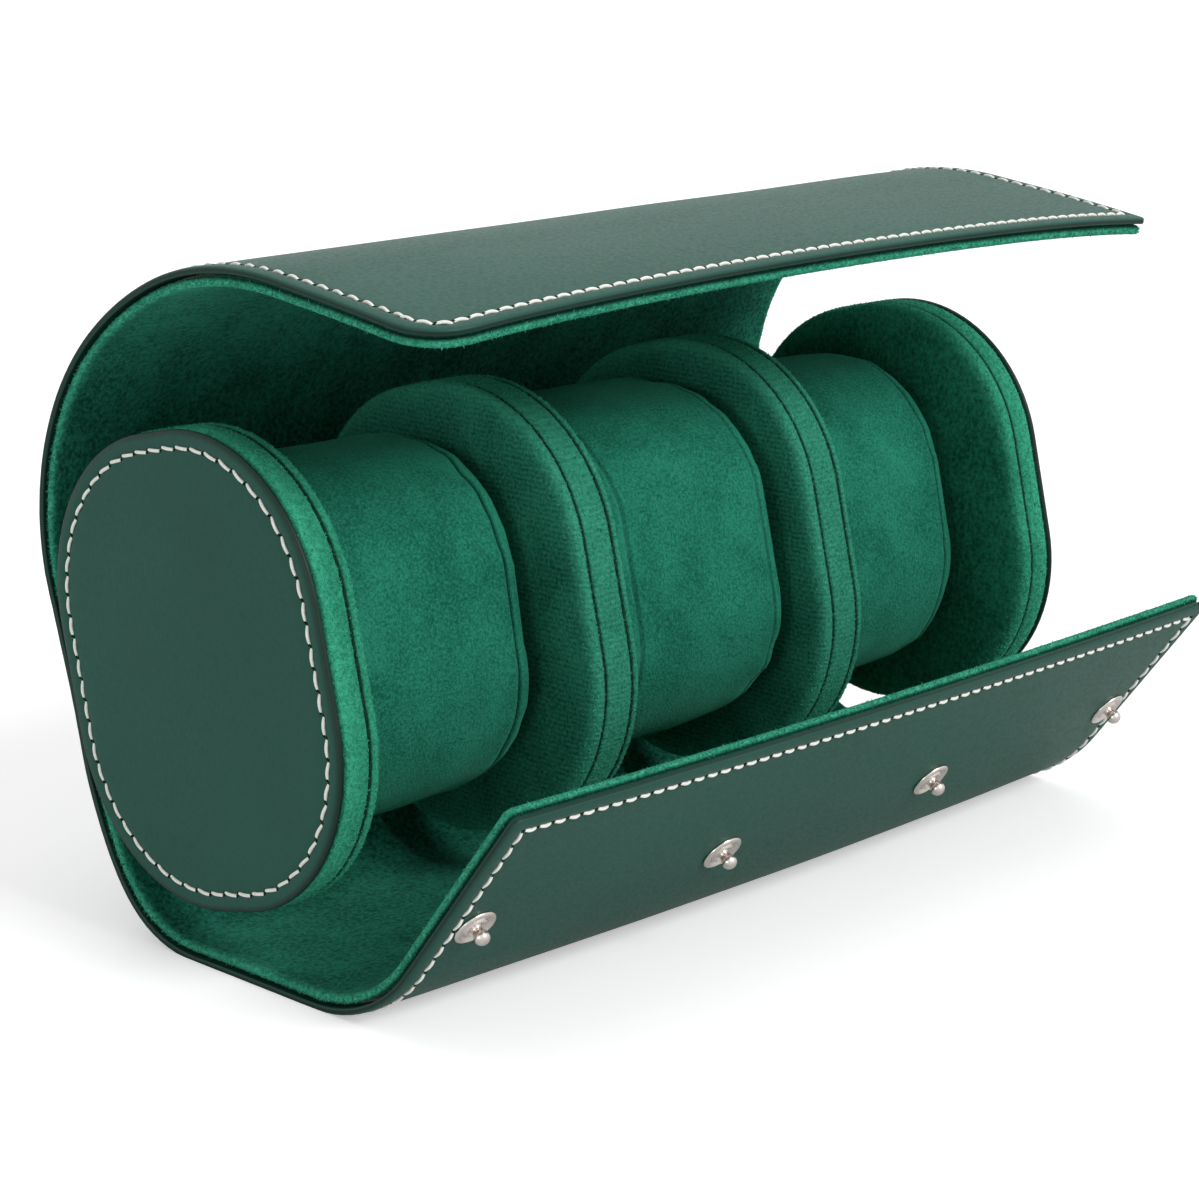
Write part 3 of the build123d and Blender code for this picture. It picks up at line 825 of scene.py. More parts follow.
@functools.cache
def pile_tree():
    """Nodes that stand short tapered fibres on the cut edges of a velvet piece."""
    inputs = {"Velvet": "Geometry", "Least Edge Share": "Float", "Density": "Float"}
    inputs |= {"Fibre Length": "Float", "Lean": "Float", "Seed": "Int", "Fibres": "Material"}
    tree, given = node_group("cut_pile", inputs, "Pile")
    share = add_node(tree, ATTRIBUTE, "Attribute", {"Name": "edge_share"}, data_type="FLOAT")
    fringe = add_node(
        tree,
        "FunctionNodeCompare",
        "Result",
        {"A": share, "B": given["Least Edge Share"]},
        data_type="FLOAT",
        operation="GREATER_EQUAL",
    )
    spread = {"Mesh": given["Velvet"], "Selection": fringe}
    spread |= {"Density": given["Density"], "Seed": given["Seed"]}
    roots = add_node(tree, "GeometryNodeDistributePointsOnFaces", None, spread).outputs
    cone = {"Vertices": 3, "Radius Top": 0.00002, "Radius Bottom": 0.00009}
    cone["Depth"] = given["Fibre Length"]
    fibre = add_node(tree, "GeometryNodeMeshCone", "Mesh", cone, fill_type="NGON")
    other_way = {0: given["Lean"], 1: -1.0}
    less = add_node(tree, "ShaderNodeMath", "Value", other_way, operation="MULTIPLY")
    low, high = (
        add_node(tree, "ShaderNodeCombineXYZ", "Vector", {"X": lean, "Y": lean})
        for lean in (less, given["Lean"])
    )
    turn = swayed(tree, roots["Rotation"], low, high, given["Seed"])
    limits = {"Min": 0.5, "Max": 1.1, "Seed": given["Seed"]}
    size = add_node(tree, "FunctionNodeRandomValue", None, limits, data_type="FLOAT")
    size = next(output for output in size.outputs if output.enabled)
    done = planted(tree, roots["Points"], fibre, turn, given["Fibres"], Scale=size)
    add_node(tree, "NodeGroupOutput", None, {"Pile": done})
    return tree


@functools.cache
def fastener_tree():
    """Nodes that set one fastener on each marked point, upright on the leather."""
    inputs = {"Places": "Geometry", "Fastener": "Object", "Metal": "Material"}
    tree, given = node_group("set_fasteners", inputs, "Fasteners")
    shape = add_node(tree, "GeometryNodeObjectInfo", "Geometry", {"Object": given["Fastener"]})
    points = add_node(tree, "GeometryNodeMeshToPoints", "Points", {"Mesh": given["Places"]})
    up = add_node(tree, ATTRIBUTE, "Attribute", {"Name": "up"}, data_type="FLOAT_VECTOR")
    up = {"Vector": up}
    stand = add_node(tree, "FunctionNodeAlignRotationToVector", "Rotation", up, axis="Z")
    done = planted(tree, points, shape, stand, given["Metal"])
    add_node(tree, "NodeGroupOutput", None, {"Fasteners": done})
    return tree


def grown_mesh(obj, tree, values, name):
    """Runs a node tree on an object and keeps the result as a plain mesh object."""
    modifier = obj.modifiers.new("grow", "NODES")
    modifier.node_group = tree
    for item in tree.interface.items_tree:
        if item.item_type == "SOCKET" and item.in_out == "INPUT" and item.name in values:
            modifier[item.identifier] = values[item.name]
    bpy.context.view_layer.update()
    mesh = evaluated_mesh(obj)
    mesh.name = name
    bpy.data.objects.remove(obj)
    return linked_object(name, mesh)


# Loose pile on the cut edges of the wrap's lining, and on the rims of caps and dividers: the least
# edge share that grows it, how many to a square millimetre, how long, and how far they lean
EDGE_PILE = {"least": 0.85, "density": 10.0, "length": 0.55, "lean": 0.9}
RIM_PILE = {"least": 0.25, "density": 6.0, "length": 0.42, "lean": 1.35}


def pile_on(piece, name, settings, seed, least, density, length, lean):
    """Fibres on the cut edges of a piece, so many to a square millimetre, as one mesh."""
    values = {
        "Least Edge Share": least,
        "Density": density / MM**2,
        "Fibre Length": length * MM * settings.fibre,
        "Lean": lean,
        "Seed": seed,
        "Fibres": material("fibres"),
    }
    made = grown_mesh(linked_object(name + "_root", piece.data), pile_tree(), values, name)
    return made


def seam_path(name, points_mm, ups):
    """A seam's line as a mesh of edges, with the way out of the leather at each point."""
    mesh = bpy.data.meshes.new(name)
    edges = [(i, i + 1) for i in range(len(points_mm) - 1)]
    mesh.from_pydata((np.asarray(points_mm) * MM).tolist(), edges, [])
    up = mesh.attributes.new("up", "FLOAT_VECTOR", "POINT")
    up.data.foreach_set("vector", np.asarray(ups, np.float32).ravel())
    return linked_object(name, mesh)


def sew(name, paths, settings, seed, thread="thread", size=1.0, stout=1.0):
    """Stitches along one or more lines, as one mesh."""
    sewn = []
    for k, (points, ups) in enumerate(paths):
        values = {
            "Pitch": settings.pitch * size,
            "Stitch Length": settings.stitch * size,
            "Thread Radius": settings.thread / 2 * stout,
            "Hole Radius": settings.thread * 0.5 * stout,
            "Seed": seed + k,
            "Thread": material(thread),
            "Hole": material("hole"),
        }
        line = seam_path(name + "_line_" + str(k), points, ups)
        sewn.append(grown_mesh(line, stitch_tree(), values, name + "_part_" + str(k)))
    return join(name, sewn)


def join(name, objects):
    """One mesh object from several with the same finish."""
    work = bmesh.new()
    for obj in objects:
        work.from_mesh(obj.data)
    mesh = bpy.data.meshes.new(name)
    work.to_mesh(mesh)
    work.free()
    for finish in objects[0].data.materials:
        mesh.materials.append(finish)
    for obj in objects:
        bpy.data.objects.remove(obj)
    return linked_object(name, mesh)


def marks_between(first, last, step=0.6):
    """Values about a step apart from one to another, both kept."""
    return np.linspace(first, last, max(3, int(abs(last - first) / step)))


def seam_lines(low, high, inset, pitch):
    """Lines of the edge seam between two places, each with its share of the full stitch size.

    A free end also gets the line across, which is sewn with shorter stitches than the sides.
    """
    side = HALF_WRAP - inset
    start = low + pitch / 2 if low > -FRONT_END else low + inset
    stop = high - pitch / 2 if high < REAR_END else high - inset
    if high >= REAR_END or low <= -FRONT_END:
        corner, fold = (stop, start) if high >= REAR_END else (start, stop)
        inward = np.sign(fold - corner)
        near_round = LID_NEAR_CORNER - inset if high >= REAR_END else 0.0
        turn = np.radians(np.linspace(0, 90, 9)) if near_round else np.empty(0)
        across = [
            *zip(
                -side + near_round * (1 - np.cos(turn)),
                corner + inward * near_round * (1 - np.sin(turn)),
            )
        ]
        begin = -side + (near_round + 0.6 if near_round else pitch / 2)
        across += [(x, corner) for x in marks_between(begin, side - pitch / 2)]
        near = marks_between(fold, corner + inward * (near_round + pitch / 2))
        far = marks_between(corner + inward * pitch / 2, fold)
        lines = (
            ([(-side, place) for place in near], SIDE_STITCH),
            (across, END_STITCH),
            ([(side, place) for place in far], SIDE_STITCH),
        )
    else:
        along = marks_between(start, stop)
        lines = (([(x, place) for place in along], SIDE_STITCH) for x in (-side, side))
    return [(*on_wrap(*np.array(line).T, SEAM_DEPTH), size) for line, size in lines]


# Turned metal
def lathe(profile, count):
    """Points and faces of a solid turned from rows of radius and height, in millimetres."""
    turn = np.linspace(0, 2 * math.pi, count, endpoint=False)
    points = [
        (r * math.cos(t), r * math.sin(t), h) for r, h in profile if r > 0 for t in turn
    ]
    rings = sum(1 for r, h in profile if r > 0)
    faces = []
    for k in range(rings - 1):
        for j in range(count):
            n = (j + 1) % count
            faces.append([k * count + j, k * count + n, (k + 1) * count + n, (k + 1) * count + j])
    for at, ring in ((0, 0), (-1, rings - 1)):
        pole = len(points)
        rim = [ring * count + j for j in range(count)]
        if profile[at][0] == 0:
            points.append((0.0, 0.0, profile[at][1]))
            faces += [[a, b, pole] for a, b in zip(rim, rim[1:] + rim[:1])]
        else:
            faces.append(rim)
    return points, faces


def fasteners(name, profile, count, place, depth, body, node):
    """Four equal turned fasteners along the roll, on the bowed wrap."""
    shape = new_mesh_object(name + "_shape", *lathe(profile, count))
    outward_faces(shape)
    marks, ups = [], []
    for x in SNAP_PLACES:
        cross = on_wrap([x, x - 1, x + 1, x, x], [place] * 3 + [place - 1, place + 1], depth)[0]
        up = np.cross(cross[4] - cross[3], cross[2] - cross[1])
        marks.append(cross[0])
        ups.append(up / np.linalg.norm(up))
    values = {"Fastener": shape, "Metal": material("metal")}
    made = grown_mesh(seam_path(name + "_places", marks, ups), fastener_tree(), values, name)
    bpy.data.objects.remove(shape)
    made.data.polygons.foreach_set("use_smooth", [True] * len(made.data.polygons))
    made.data.set_sharp_from_angle(angle=SHARP_FOLD)
    on_body(made, body, "nickel_plated_metal", node)


def on_body(piece, body, slot, *nodes):
    """Lets a piece ride a body, in place of the solids that it dresses, if any."""
    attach(piece, body)
    if nodes:
        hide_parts(*nodes)


# Settings that a user would change
def plain_number(name, description, default, **more):
    """A number in the add-on's panel."""
    return bpy.props.FloatProperty(name=name, description=description, default=default, **more)


def real_length(name, description, default, digits=4):
    """A length in the add-on's panel, in metres."""
    return plain_number(name, description, default, unit="LENGTH", precision=digits)


class WrapSettings(bpy.types.PropertyGroup):
    ripple: plain_number("Ripple", "How uneven the soft leather lies", 0.16, min=0.0, max=1.0)
    groove: plain_number("Seam groove", "How deep the seam draws the leather in", 0.2)
    pile: plain_number("Pile", "How much the velvet stands up beside its seam", 0.35)
    fibre: plain_number("Fibres", "Length of the loose pile ends, against the usual", 1.0)


class SeamSettings(bpy.types.PropertyGroup):
    pitch: real_length("Pitch", "Distance from one stitch to the next", 0.0039)
    stitch: real_length("Stitch", "Length of one stitch", 0.0035)
    thread: real_length("Thread", "Thickness of the thread", 0.00072, 5)
    inset: real_length("Inset", "Distance from the edge", SEAM_INSET * MM)


class CushionSettings(bpy.types.PropertyGroup):
    voxel: real_length("Cloth size", "Size of the squares of the simulated cloth", 0.003)
    pressure: plain_number("Filling", "Pressure of the filling on the cloth", 4.0, min=0.0)
    swell_cap: real_length("Swell", "Most that the filling moves the cloth", 0.0012)
    seam_depth: plain_number("Seam depth", "How far the end seams pull in, in millimetres", 1.0)
    gather: plain_number("Gathers", "Height of the gathers at the seams, in millimetres", 0.55)
    hollow: plain_number("Hollows", "Depth of the soft hollows, in millimetres", 0.35)


class StageSettings(bpy.types.PropertyGroup):
    floor_colour: bpy.props.FloatVectorProperty(
        name="Floor", description="Colour of the floor", subtype="COLOR", default=(0.78, 0.78, 0.78)
    )
    room_light: plain_number("Room", "Strength of the even light from all round", 0.42)
    key_light: plain_number("Key light", "Strength of the soft light from the front", 2.1)
    side_light: plain_number("Side light", "Strength of the soft light on the near end", 0.75)
    top_light: plain_number("Top light", "Strength of the soft light from above", 0.62)


class TWC_OT_wrap_leather(bpy.types.Operator):
    """Makes the leather of the wrap, with rounded painted edges, a painted shade line across their
    middle, and a drawn-in seam line
    """

    bl_idname = "twc.wrap_leather"
    bl_label = "Wrap leather"

    def execute(self, context):
        settings = context.scene.twc_wrap

        def drawn_in(x, place, to_edge):
            """Drawn in at the seam, full beside it, and a little uneven."""
            groove = settings.groove * bell(to_edge, SEAM_INSET, 0.5)
            puff = -0.14 * bell(to_edge, 1.7, 0.9)
            uneven = settings.ripple * ripple(x, place, 55.0, 4) * smooth((to_edge - 2) / 14)
            # none of it under the flat that stands on the floor
            return (groove + puff + uneven) * smooth((np.abs(place - 5) - 22) / 10)

        wrap_layer(
            "_leather", "leather", "green_leather", name="leather", setback=0.0, top=0.0,
            bottom=LEATHER, rounding=0.45, steps=(2.2, 5.0), wave=0.06, ring_shares=EDGE_PAINT_AND_GROOVE_SHADE,
            face_shape=drawn_in,
        )
        return {"FINISHED"}


class TWC_OT_wrap_boards(bpy.types.Operator):
    """Makes the thin boards between the leather and the velvet"""

    bl_idname = "twc.wrap_boards"
    bl_label = "Stiffener boards"

    def execute(self, context):
        wrap_layer(
            "_stiffener", "board", "stiffener_board", name="board", setback=BOARD_SETBACK,
            top=LEATHER + BOARD_GAP, bottom=LEATHER + BOARD - BOARD_GAP, rounding=0.15,
            steps=(4.0, 12.0), wave=0.0, ring_shares=EDGE_PAINT_AND_GROOVE_SHADE,
        )
        return {"FINISHED"}


class TWC_OT_wrap_lining(bpy.types.Operator):
    """Makes the velvet lining of the wrap, with its thick cut edge"""

    bl_idname = "twc.wrap_lining"
    bl_label = "Velvet lining"

    def execute(self, context):
        settings = context.scene.twc_wrap

        def pile(x, place, to_edge):
            """Tufts that stand up unevenly, less at the seam and the edge."""
            seam = -0.12 * bell(to_edge, SEAM_INSET, 1.0)
            tufts = 0.4 * ripple(x, place, 9.0, 7) + 0.25 * ripple(x, place, 3.6, 8)
            return (seam + settings.pile * tufts) * smooth((to_edge - 0.9) / 1.5)

        strips = wrap_layer(
            "_lining", "lining", "green_velvet", name="velvet", setback=VELVET_SETBACK,
            top=LEATHER + BOARD, bottom=WRAP, rounding=0.8, steps=(1.4, 1.4), wave=0.18,
            ring_shares=FRAYED_SHEEN_AND_GAP_SHADE, back_shape=pile,
        )
        for piece, strip in strips:
            fuzz = pile_on(piece, "velvet_fibres_" + strip.name, settings, seed=5, **EDGE_PILE)
            blend_over(fuzz, strip)
        return {"FINISHED"}


class TWC_OT_wrap_stitches(bpy.types.Operator):
    """Sews the off-white stitches round the edge of the wrap"""

    bl_idname = "twc.wrap_stitches"
    bl_label = "Edge stitches"

    def execute(self, context):
        settings = context.scene.twc_seam
        inset, pitch = settings.inset / MM, settings.pitch / MM * SIDE_STITCH
        for k, strip in enumerate(STRIPS):
            name = "stitches_" + strip.name
            parts = []
            lines = seam_lines(strip.low, strip.high, inset, pitch)
            for n, (points, ups, size) in enumerate(lines):
                like = {"seed": 11 * k + n, "size": size, "stout": WRAP_STOUT}
                parts.append(sew(name + "_" + str(n), [(points, ups)], settings, **like))
            stitches = join(name, parts)
            blend_over(stitches, strip)
        return {"FINISHED"}


# Outline of a cap's leather face and of its velvet band, from the case's end inward, and of one
# half of a divider and of a cushion, from the middle outward. Each row is how deep or how far out
# it lies and how far in from the oval, and then, if it has any, its share of the edge colour and of
# the painted seam shade. On the leather face the edge colour is edge paint; on velvet it is a
# painted sheen highlight on rims, cut edges and the ridges beside seams. The seam shade is painted
# shade in the sunk seams and in the gap where the velvet band meets the leather.
CAP_FACE = (
    (1.3, 30), (1.3, 0.8, 1, 0), (1.15, 0.35, 1, 0), (0.8, 0.05, 1, 0), (0.45, 0.05, 1, 0),
    (0.15, 0.3, 1, 0), (0.02, 0.75, 0.6, 0), (-0.05, 1.3), (-0.04, 2.0), (0.06, 2.6), (0.2, 3.0),
    (0.24, SEAM_INSET, 0, 1), (0.18, 3.6), (0.08, 4.1), (0.03, 5.0), (0.05, 7.0), (0.1, 10.0),
    (0.12, 15.0), (0.1, 22.0), (0.08, 29.0), (0.06, 34.0),
)
CAP_SEAM = 7.1
CAP_BAND = (
    (1.45, 30), (1.4, 1.6, 0, 0.8), (1.5, 0.75, 0.3, 0.3), (2.0, 0.3, 0.9, 0), (3.0, 0.1, 0.8, 0),
    (4.5, 0.05, 0.5, 0), (6.0, 0.1, 0.4, 0), (6.6, 0.2, 0.4, 0.1), (6.85, 0.45, 0, 0.85),
    (CAP_SEAM, 0.75, 0, 1), (7.35, 0.45, 0, 0.85), (7.6, 0.15, 0.4, 0.1), (8.4, 0.1, 0.6, 0),
    (9.2, 0.5, 0.6, 0), (9.7, 1.2, 0.4, 0), (9.95, 2.2, 0.2, 0), (10.0, 4.0), (9.9, 9.0),
    (9.8, 20.0), (9.8, 30.0), (9.8, 34.0),
)
DIVIDER_SEAM = 3.45
DIVIDER_HALF = (
    (0.0, 0.05, 0.4, 0), (1.5, 0.06, 0.4, 0), (2.6, 0.1, 0.4, 0), (3.0, 0.2, 0.3, 0.1),
    (3.2, 0.45, 0, 0.85), (DIVIDER_SEAM, 0.75, 0, 1), (3.7, 0.45, 0, 0.85), (3.95, 0.15, 0.4, 0.1),
    (4.6, 0.1, 0.6, 0), (5.3, 0.6, 0.6, 0), (5.75, 1.4, 0.4, 0), (5.95, 2.6, 0.1, 0), (6.0, 5.0),
    (5.9, 10.0), (5.8, 20.0), (5.8, 30.0), (5.8, 34.0),
)
CUSHION_SEAM = 18.8
CUSHION_HALF = (
    (0.0, 0.0), (2.0, 0.0), (4.0, 0.0), (6.0, 0.02), (8.0, 0.05), (10.0, 0.1), (12.0, 0.15),
    (14.0, 0.2), (15.5, 0.25), (16.8, 0.3), (17.7, 0.35, 0.1, 0), (18.1, 0.4, 0.3, 0.1),
    (18.4, 0.45, 0, 0.8), (CUSHION_SEAM, 0.45, 0, 1), (19.2, 0.45, 0, 0.8), (19.5, 0.5, 0.3, 0.1),
    (20.0, 0.5, 0.2, 0), (20.8, 0.6, 0.1, 0), (21.6, 0.9, 0.1, 0), (22.3, 1.4, 0.1, 0), (22.9, 2.2),
    (23.4, 3.2), (23.8, 4.6), (24.1, 7.0), (24.3, 10.0), (24.4, 13.5), (24.4, 17.0), (24.4, 21.0),
    (24.4, 25.0), (24.4, 28.0),
)

# The thread of the sunk seams on the rims of caps and dividers, and how far in they lie
RIM_THREAD = {"thread": "green thread", "size": 0.75, "stout": 0.95}
RIM_SEAM_INSET = 0.6


def rim_seams(name, places, settings, seed):
    """Sunk green seams round the velvet rim of a cap or a divider."""
    lines = [oval_seam(x, RIM_SEAM_INSET) for x in places]
    on_body(sew(name, lines, settings, seed, **RIM_THREAD), "core", "green_velvet")


class TWC_OT_end_caps(bpy.types.Operator):
    """Makes the two end caps: stitched leather outside, velvet round the rim and inside"""

    bl_idname = "twc.end_caps"
    bl_label = "End caps"

    def execute(self, context):
        for name, side in (("near_cap", -1), ("far_cap", 1)):

            def inward(rows, side=side):
                """Rows of a profile, placed from the case's end inward."""
                return [(side * (HALF_CASE - depth), *rest) for depth, *rest in rows]

            face = oval_body(name + "_leather_face", OVAL, inward(CAP_FACE))
            paint(face, material("leather"))
            on_body(face, "core", "green_leather", name + "_leather")
            band = oval_body(name + "_velvet", OVAL, inward(CAP_BAND))
            paint(band, material("rim"))
            nodes = (name + "_rim_velvet", name + "_lining", name + "_board")
            on_body(band, "core", "green_velvet", *nodes)
            wrap, settings = context.scene.twc_wrap, context.scene.twc_seam
            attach(pile_on(band, name + "_fibres", wrap, seed=40 + side, **RIM_PILE), "core")
            loop = oval_seam(side * (HALF_CASE - CAP_SEAM_DEPTH), SEAM_INSET)[0]
            ups = np.tile([side, 0.0, 0.0], (len(loop), 1))
            stitches = sew(name + "_stitches", [(loop, ups)], settings, 90 + side, stout=CAP_STOUT)
            on_body(stitches, "core", "green_leather")
            rim_seams(name + "_rim_seam", [side * (HALF_CASE - CAP_SEAM)], settings, 95)
        return {"FINISHED"}


class TWC_OT_dividers(bpy.types.Operator):
    """Makes the two velvet dividers with a seam at each side of the rim"""

    bl_idname = "twc.dividers"
    bl_label = "Dividers"

    def execute(self, context):
        for i, name in enumerate(("near_divider", "far_divider")):
            centre = -HALF_CASE + CAP + (i + 1) * COMPARTMENT + (i + 0.5) * DIVIDER
            body = oval_body(name + "_velvet", OVAL, mirrored(DIVIDER_HALF, centre))
            paint(body, material("face"))
            layers = ("_rim_velvet", "_near_lining", "_far_lining", "_board")
            on_body(body, "core", "green_velvet", *(name + layer for layer in layers))
            wrap, settings = context.scene.twc_wrap, context.scene.twc_seam
            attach(pile_on(body, name + "_fibres", wrap, seed=50 + i, **RIM_PILE), "core")
            places = (centre - DIVIDER_SEAM, centre + DIVIDER_SEAM)
            rim_seams(name + "_rim_seams", places, settings, 60 + i)
        return {"FINISHED"}


# Simulated cloth of the cushions: how finely it is worked out, and for how many frames
CLOTH_QUALITY = 6
CLOTH_MASS = 0.2
CLOTH_STIFFNESS = 1.0
CLOTH_FRAMES = 20


def swollen_surface(core, name, settings):
    """Blows up a copy of a cushion as cloth, and gives its surface back as a search tree."""
    pad = linked_object(name + "_swell", core.data.copy())
    remesh = pad.modifiers.new("even_cloth", "REMESH")
    remesh.mode = "VOXEL"
    remesh.voxel_size = settings.voxel
    even = evaluated_mesh(pad)
    pad.modifiers.clear()
    pad.data = even
    cloth = pad.modifiers.new("filling", "CLOTH")
    cloth.settings.quality = CLOTH_QUALITY
    cloth.settings.mass = CLOTH_MASS
    cloth.settings.bending_stiffness = CLOTH_STIFFNESS
    cloth.settings.use_pressure = True
    cloth.settings.uniform_pressure_force = settings.pressure
    cloth.settings.effector_weights.gravity = 0.0
    cloth.point_cache.frame_start = 1
    cloth.point_cache.frame_end = CLOTH_FRAMES
    for step in range(1, CLOTH_FRAMES + 1):
        bpy.context.scene.frame_set(step)
    blown = evaluated_mesh(pad)
    bpy.context.scene.frame_set(1)
    pad.modifiers.clear()
    start = mesh_points(even)
    moved = mesh_points(blown) - start
    reach = np.linalg.norm(moved, axis=1)[:, None]
    moved *= np.minimum(1.0, settings.swell_cap / np.maximum(reach, 1e-9))
    even.vertices.foreach_set("co", (start + moved).ravel())
    smoother = pad.modifiers.new("finer", "SUBSURF")
    smoother.levels = smoother.render_levels = 1
    tree = BVHTree.FromObject(pad, bpy.context.evaluated_depsgraph_get())
    bpy.data.objects.remove(pad)
    return tree


class TWC_OT_cushions(bpy.types.Operator):
    """Makes the three filled watch cushions, blown up as cloth, with their end seams"""

    bl_idname = "twc.cushions"
    bl_label = "Watch cushions"

    def execute(self, context):
        settings = context.scene.twc_cushion
        forward = np.array([0.0, -math.cos(OVAL_LEAN), math.sin(OVAL_LEAN)])
        upward = np.array([0.0, math.sin(OVAL_LEAN), math.cos(OVAL_LEAN)])
        for i, name in enumerate(("near_cushion", "middle_cushion", "far_cushion")):
            centre = -HALF_CASE + CAP + COMPARTMENT / 2 + i * (COMPARTMENT + DIVIDER)

            def fuller(points, marks, most=CUSHION_FRONTS[i]):
                """Fills out the front of the cushion, and its top a little."""
                ahead = smooth(0.25 - marks[:, 0] / CUSHION[0] * 1.5) * most
                above = smooth(0.25 + marks[:, 1] / CUSHION[1] * 1.5) * most * TOP_FULLNESS
                return points + ahead[:, None] * forward + above[:, None] * upward

            rows = mirrored(CUSHION_HALF, centre)
            place = (CUSHION_BACK, CUSHION_LIFT)
            body = oval_body(
                name + "_velvet", CUSHION, rows, *place, 120, fuller, CUSHION_SEAMS[i]
            )
            mesh = body.data
            points = mesh_points(mesh)
            surface = swollen_surface(body, name, settings)
            points = np.array([surface.find_nearest(Vector(p))[0] for p in points])
            # the share of painted seam shade also sets how far the seam pulls in
            seam = np.empty(len(mesh.vertices))
            mesh.attributes["seam_share"].data.foreach_get("value", seam)
            # everything is drawn in towards the line through the middle of the cushion
            middle = place_oval(0.0, np.zeros((1, 2)), *place)[0] * MM
            inward = middle - points
            inward[:, 0] = 0.0
            inward /= np.maximum(np.linalg.norm(inward, axis=1), 1e-6)[:, None]
            angle = np.arctan2(inward[:, 2], inward[:, 1])
            along = np.abs(points[:, 0] / MM - centre)
            round_it = angle * CUSHION_RADIUS
            gathers = ripple(round_it, along * 0.3, GATHER_STEP, 30 + i)
            gathers *= bell(along, CUSHION_SEAM, GATHER_REACH)
            hollows = ripple(round_it, points[:, 0] / MM, HOLLOW_STEP, 20 + i)
            depth = settings.seam_depth * seam + settings.gather * gathers
            depth = depth + settings.hollow * hollows * smooth((22.0 - along) / 8)
            points = points + inward * depth[:, None] * MM
            reach = CUSHION_LENGTH / 2 + CUSHION_ROOM
            points[:, 0] = np.clip(points[:, 0], (centre - reach) * MM, (centre + reach) * MM)
            mesh.vertices.foreach_set("co", points.ravel())
            mesh.update()
            paint(body, material("cushion"))
            layers = ("_foam", "_sleeve", "_ends")
            on_body(body, name, "green_velvet", *(name + layer for layer in layers))
        return {"FINISHED"}


# Turned profiles of the snaps, as radius and height above the face that they sit on
STUD = (
    (3.85, -0.15), (4.08, 0.0), (4.15, 0.2), (4.08, 0.45), (3.8, 0.66), (3.45, 0.72), (3.3, 0.6),
    (3.05, 0.3), (2.8, 0.16), (2.5, 0.22), (2.3, 0.5), (2.1, 0.72), (1.85, 0.74), (1.6, 0.5),
    (1.35, 0.28), (1.1, 0.5), (1.0, 0.9), (0.98, 1.3), (1.15, 1.55), (1.38, 1.85), (1.5, 2.3),
    (1.42, 2.8), (1.15, 3.3), (0.7, 3.65), (0.3, 3.78), (0.0, 3.8),
)
RIVET = ((0.0, -0.5), (2.9, -0.5), (3.0, -0.42), (3.0, -0.08), (2.9, 0.0), (0.0, 0.0))
SOCKET = (
    (1.95, 1.9), (1.95, -0.8), (2.0, -1.0), (2.3, -1.14), (2.7, -1.12), (2.95, -0.9), (3.3, -0.8),
    (3.9, -0.76), (4.2, -0.55), (4.3, -0.12), (4.25, 0.05), (2.6, 0.1), (2.6, 1.9), (1.95, 1.9),
)
SOCKET_BACK = ((0.0, -0.3), (4.1, -0.3), (4.2, -0.2), (4.2, -0.1), (4.1, -0.03), (0.0, -0.03))
SPRING = tuple(
    (1.8 + 0.15 * math.cos(a), 0.25 + 0.15 * math.sin(a))
    for a in np.radians(np.arange(0, 361, 45))
)


# Each part of the snaps: its profile and how many sides that is turned with, its place along the
# wrap and the depth of the face that it sits on, its body and the solids that it stands for
SNAP_PARTS = (
    ("snap_stud_discs", STUD, 32, STUD_PLACE, 0.0, "front_flap", "snap_studs"),
    ("stud_rivet_plates", RIVET, 24, STUD_PLACE, LEATHER, "front_flap", "stud_rivets"),
    ("snap_socket_rings", SOCKET, 32, SOCKET_PLACE, WRAP, "top_flap", "snap_sockets"),
    ("socket_back_plates", SOCKET_BACK, 24, SOCKET_PLACE, LEATHER, "top_flap", "socket_backs"),
    ("socket_spring_rings", SPRING, 24, SOCKET_PLACE, WRAP, "top_flap", "socket_springs"),
)
SHARP_FOLD = math.radians(40)


class TWC_OT_snaps(bpy.types.Operator):
    """Makes the snap studs on the front flap and the sockets on the lid's flap"""

    bl_idname = "twc.snaps"
    bl_label = "Snaps"

    def execute(self, context):
        for part in SNAP_PARTS:
            fasteners(*part)
        return {"FINISHED"}


# Half the side of the floor, in millimetres, so that it reaches past the picture's edge
HALF_FLOOR = 4000.0

# The photo's camera: where it stands and looks, in metres, and its lens for a 36 mm sensor, from
# a focal length in pixels of the photo
VIEW_FROM = (-0.43759, -0.41273, 0.20903)
VIEW_ALONG = (0.69331, 0.67571, -0.25047)
SENSOR = 36.0
FOCAL_PIXELS = 3200.0
PHOTO_PIXELS = 1199.0


def make_floor(settings):
    """A white sheet of paper under the case."""
    corners = [(x * HALF_FLOOR, y * HALF_FLOOR, 0) for x, y in ((-1, -1), (1, -1), (1, 1), (-1, 1))]
    floor = new_mesh_object("floor", corners, [[0, 1, 2, 3]])
    paper, tree, shader = new_material("plain_paper_sweep")
    colour = list(settings.floor_colour) + [1.0]
    fill_inputs(tree, shader, {"Base Color": colour, "Roughness": 0.9})
    # the sheet is white to the camera except where the case shades it
    glow = add_node(tree, "ShaderNodeEmission", 0, {"Strength": 0.42})
    lifted = add_node(tree, "ShaderNodeAddShader", 0, {0: shader.outputs[0], 1: glow})
    seen = add_node(tree, "ShaderNodeLightPath", "Is Camera Ray")
    shown = {0: seen, 1: shader.outputs[0], 2: lifted}
    shown = add_node(tree, "ShaderNodeMixShader", 0, shown)
    fill_inputs(tree, tree.nodes["Material Output"], {"Surface": shown})
    paint(floor, paper)


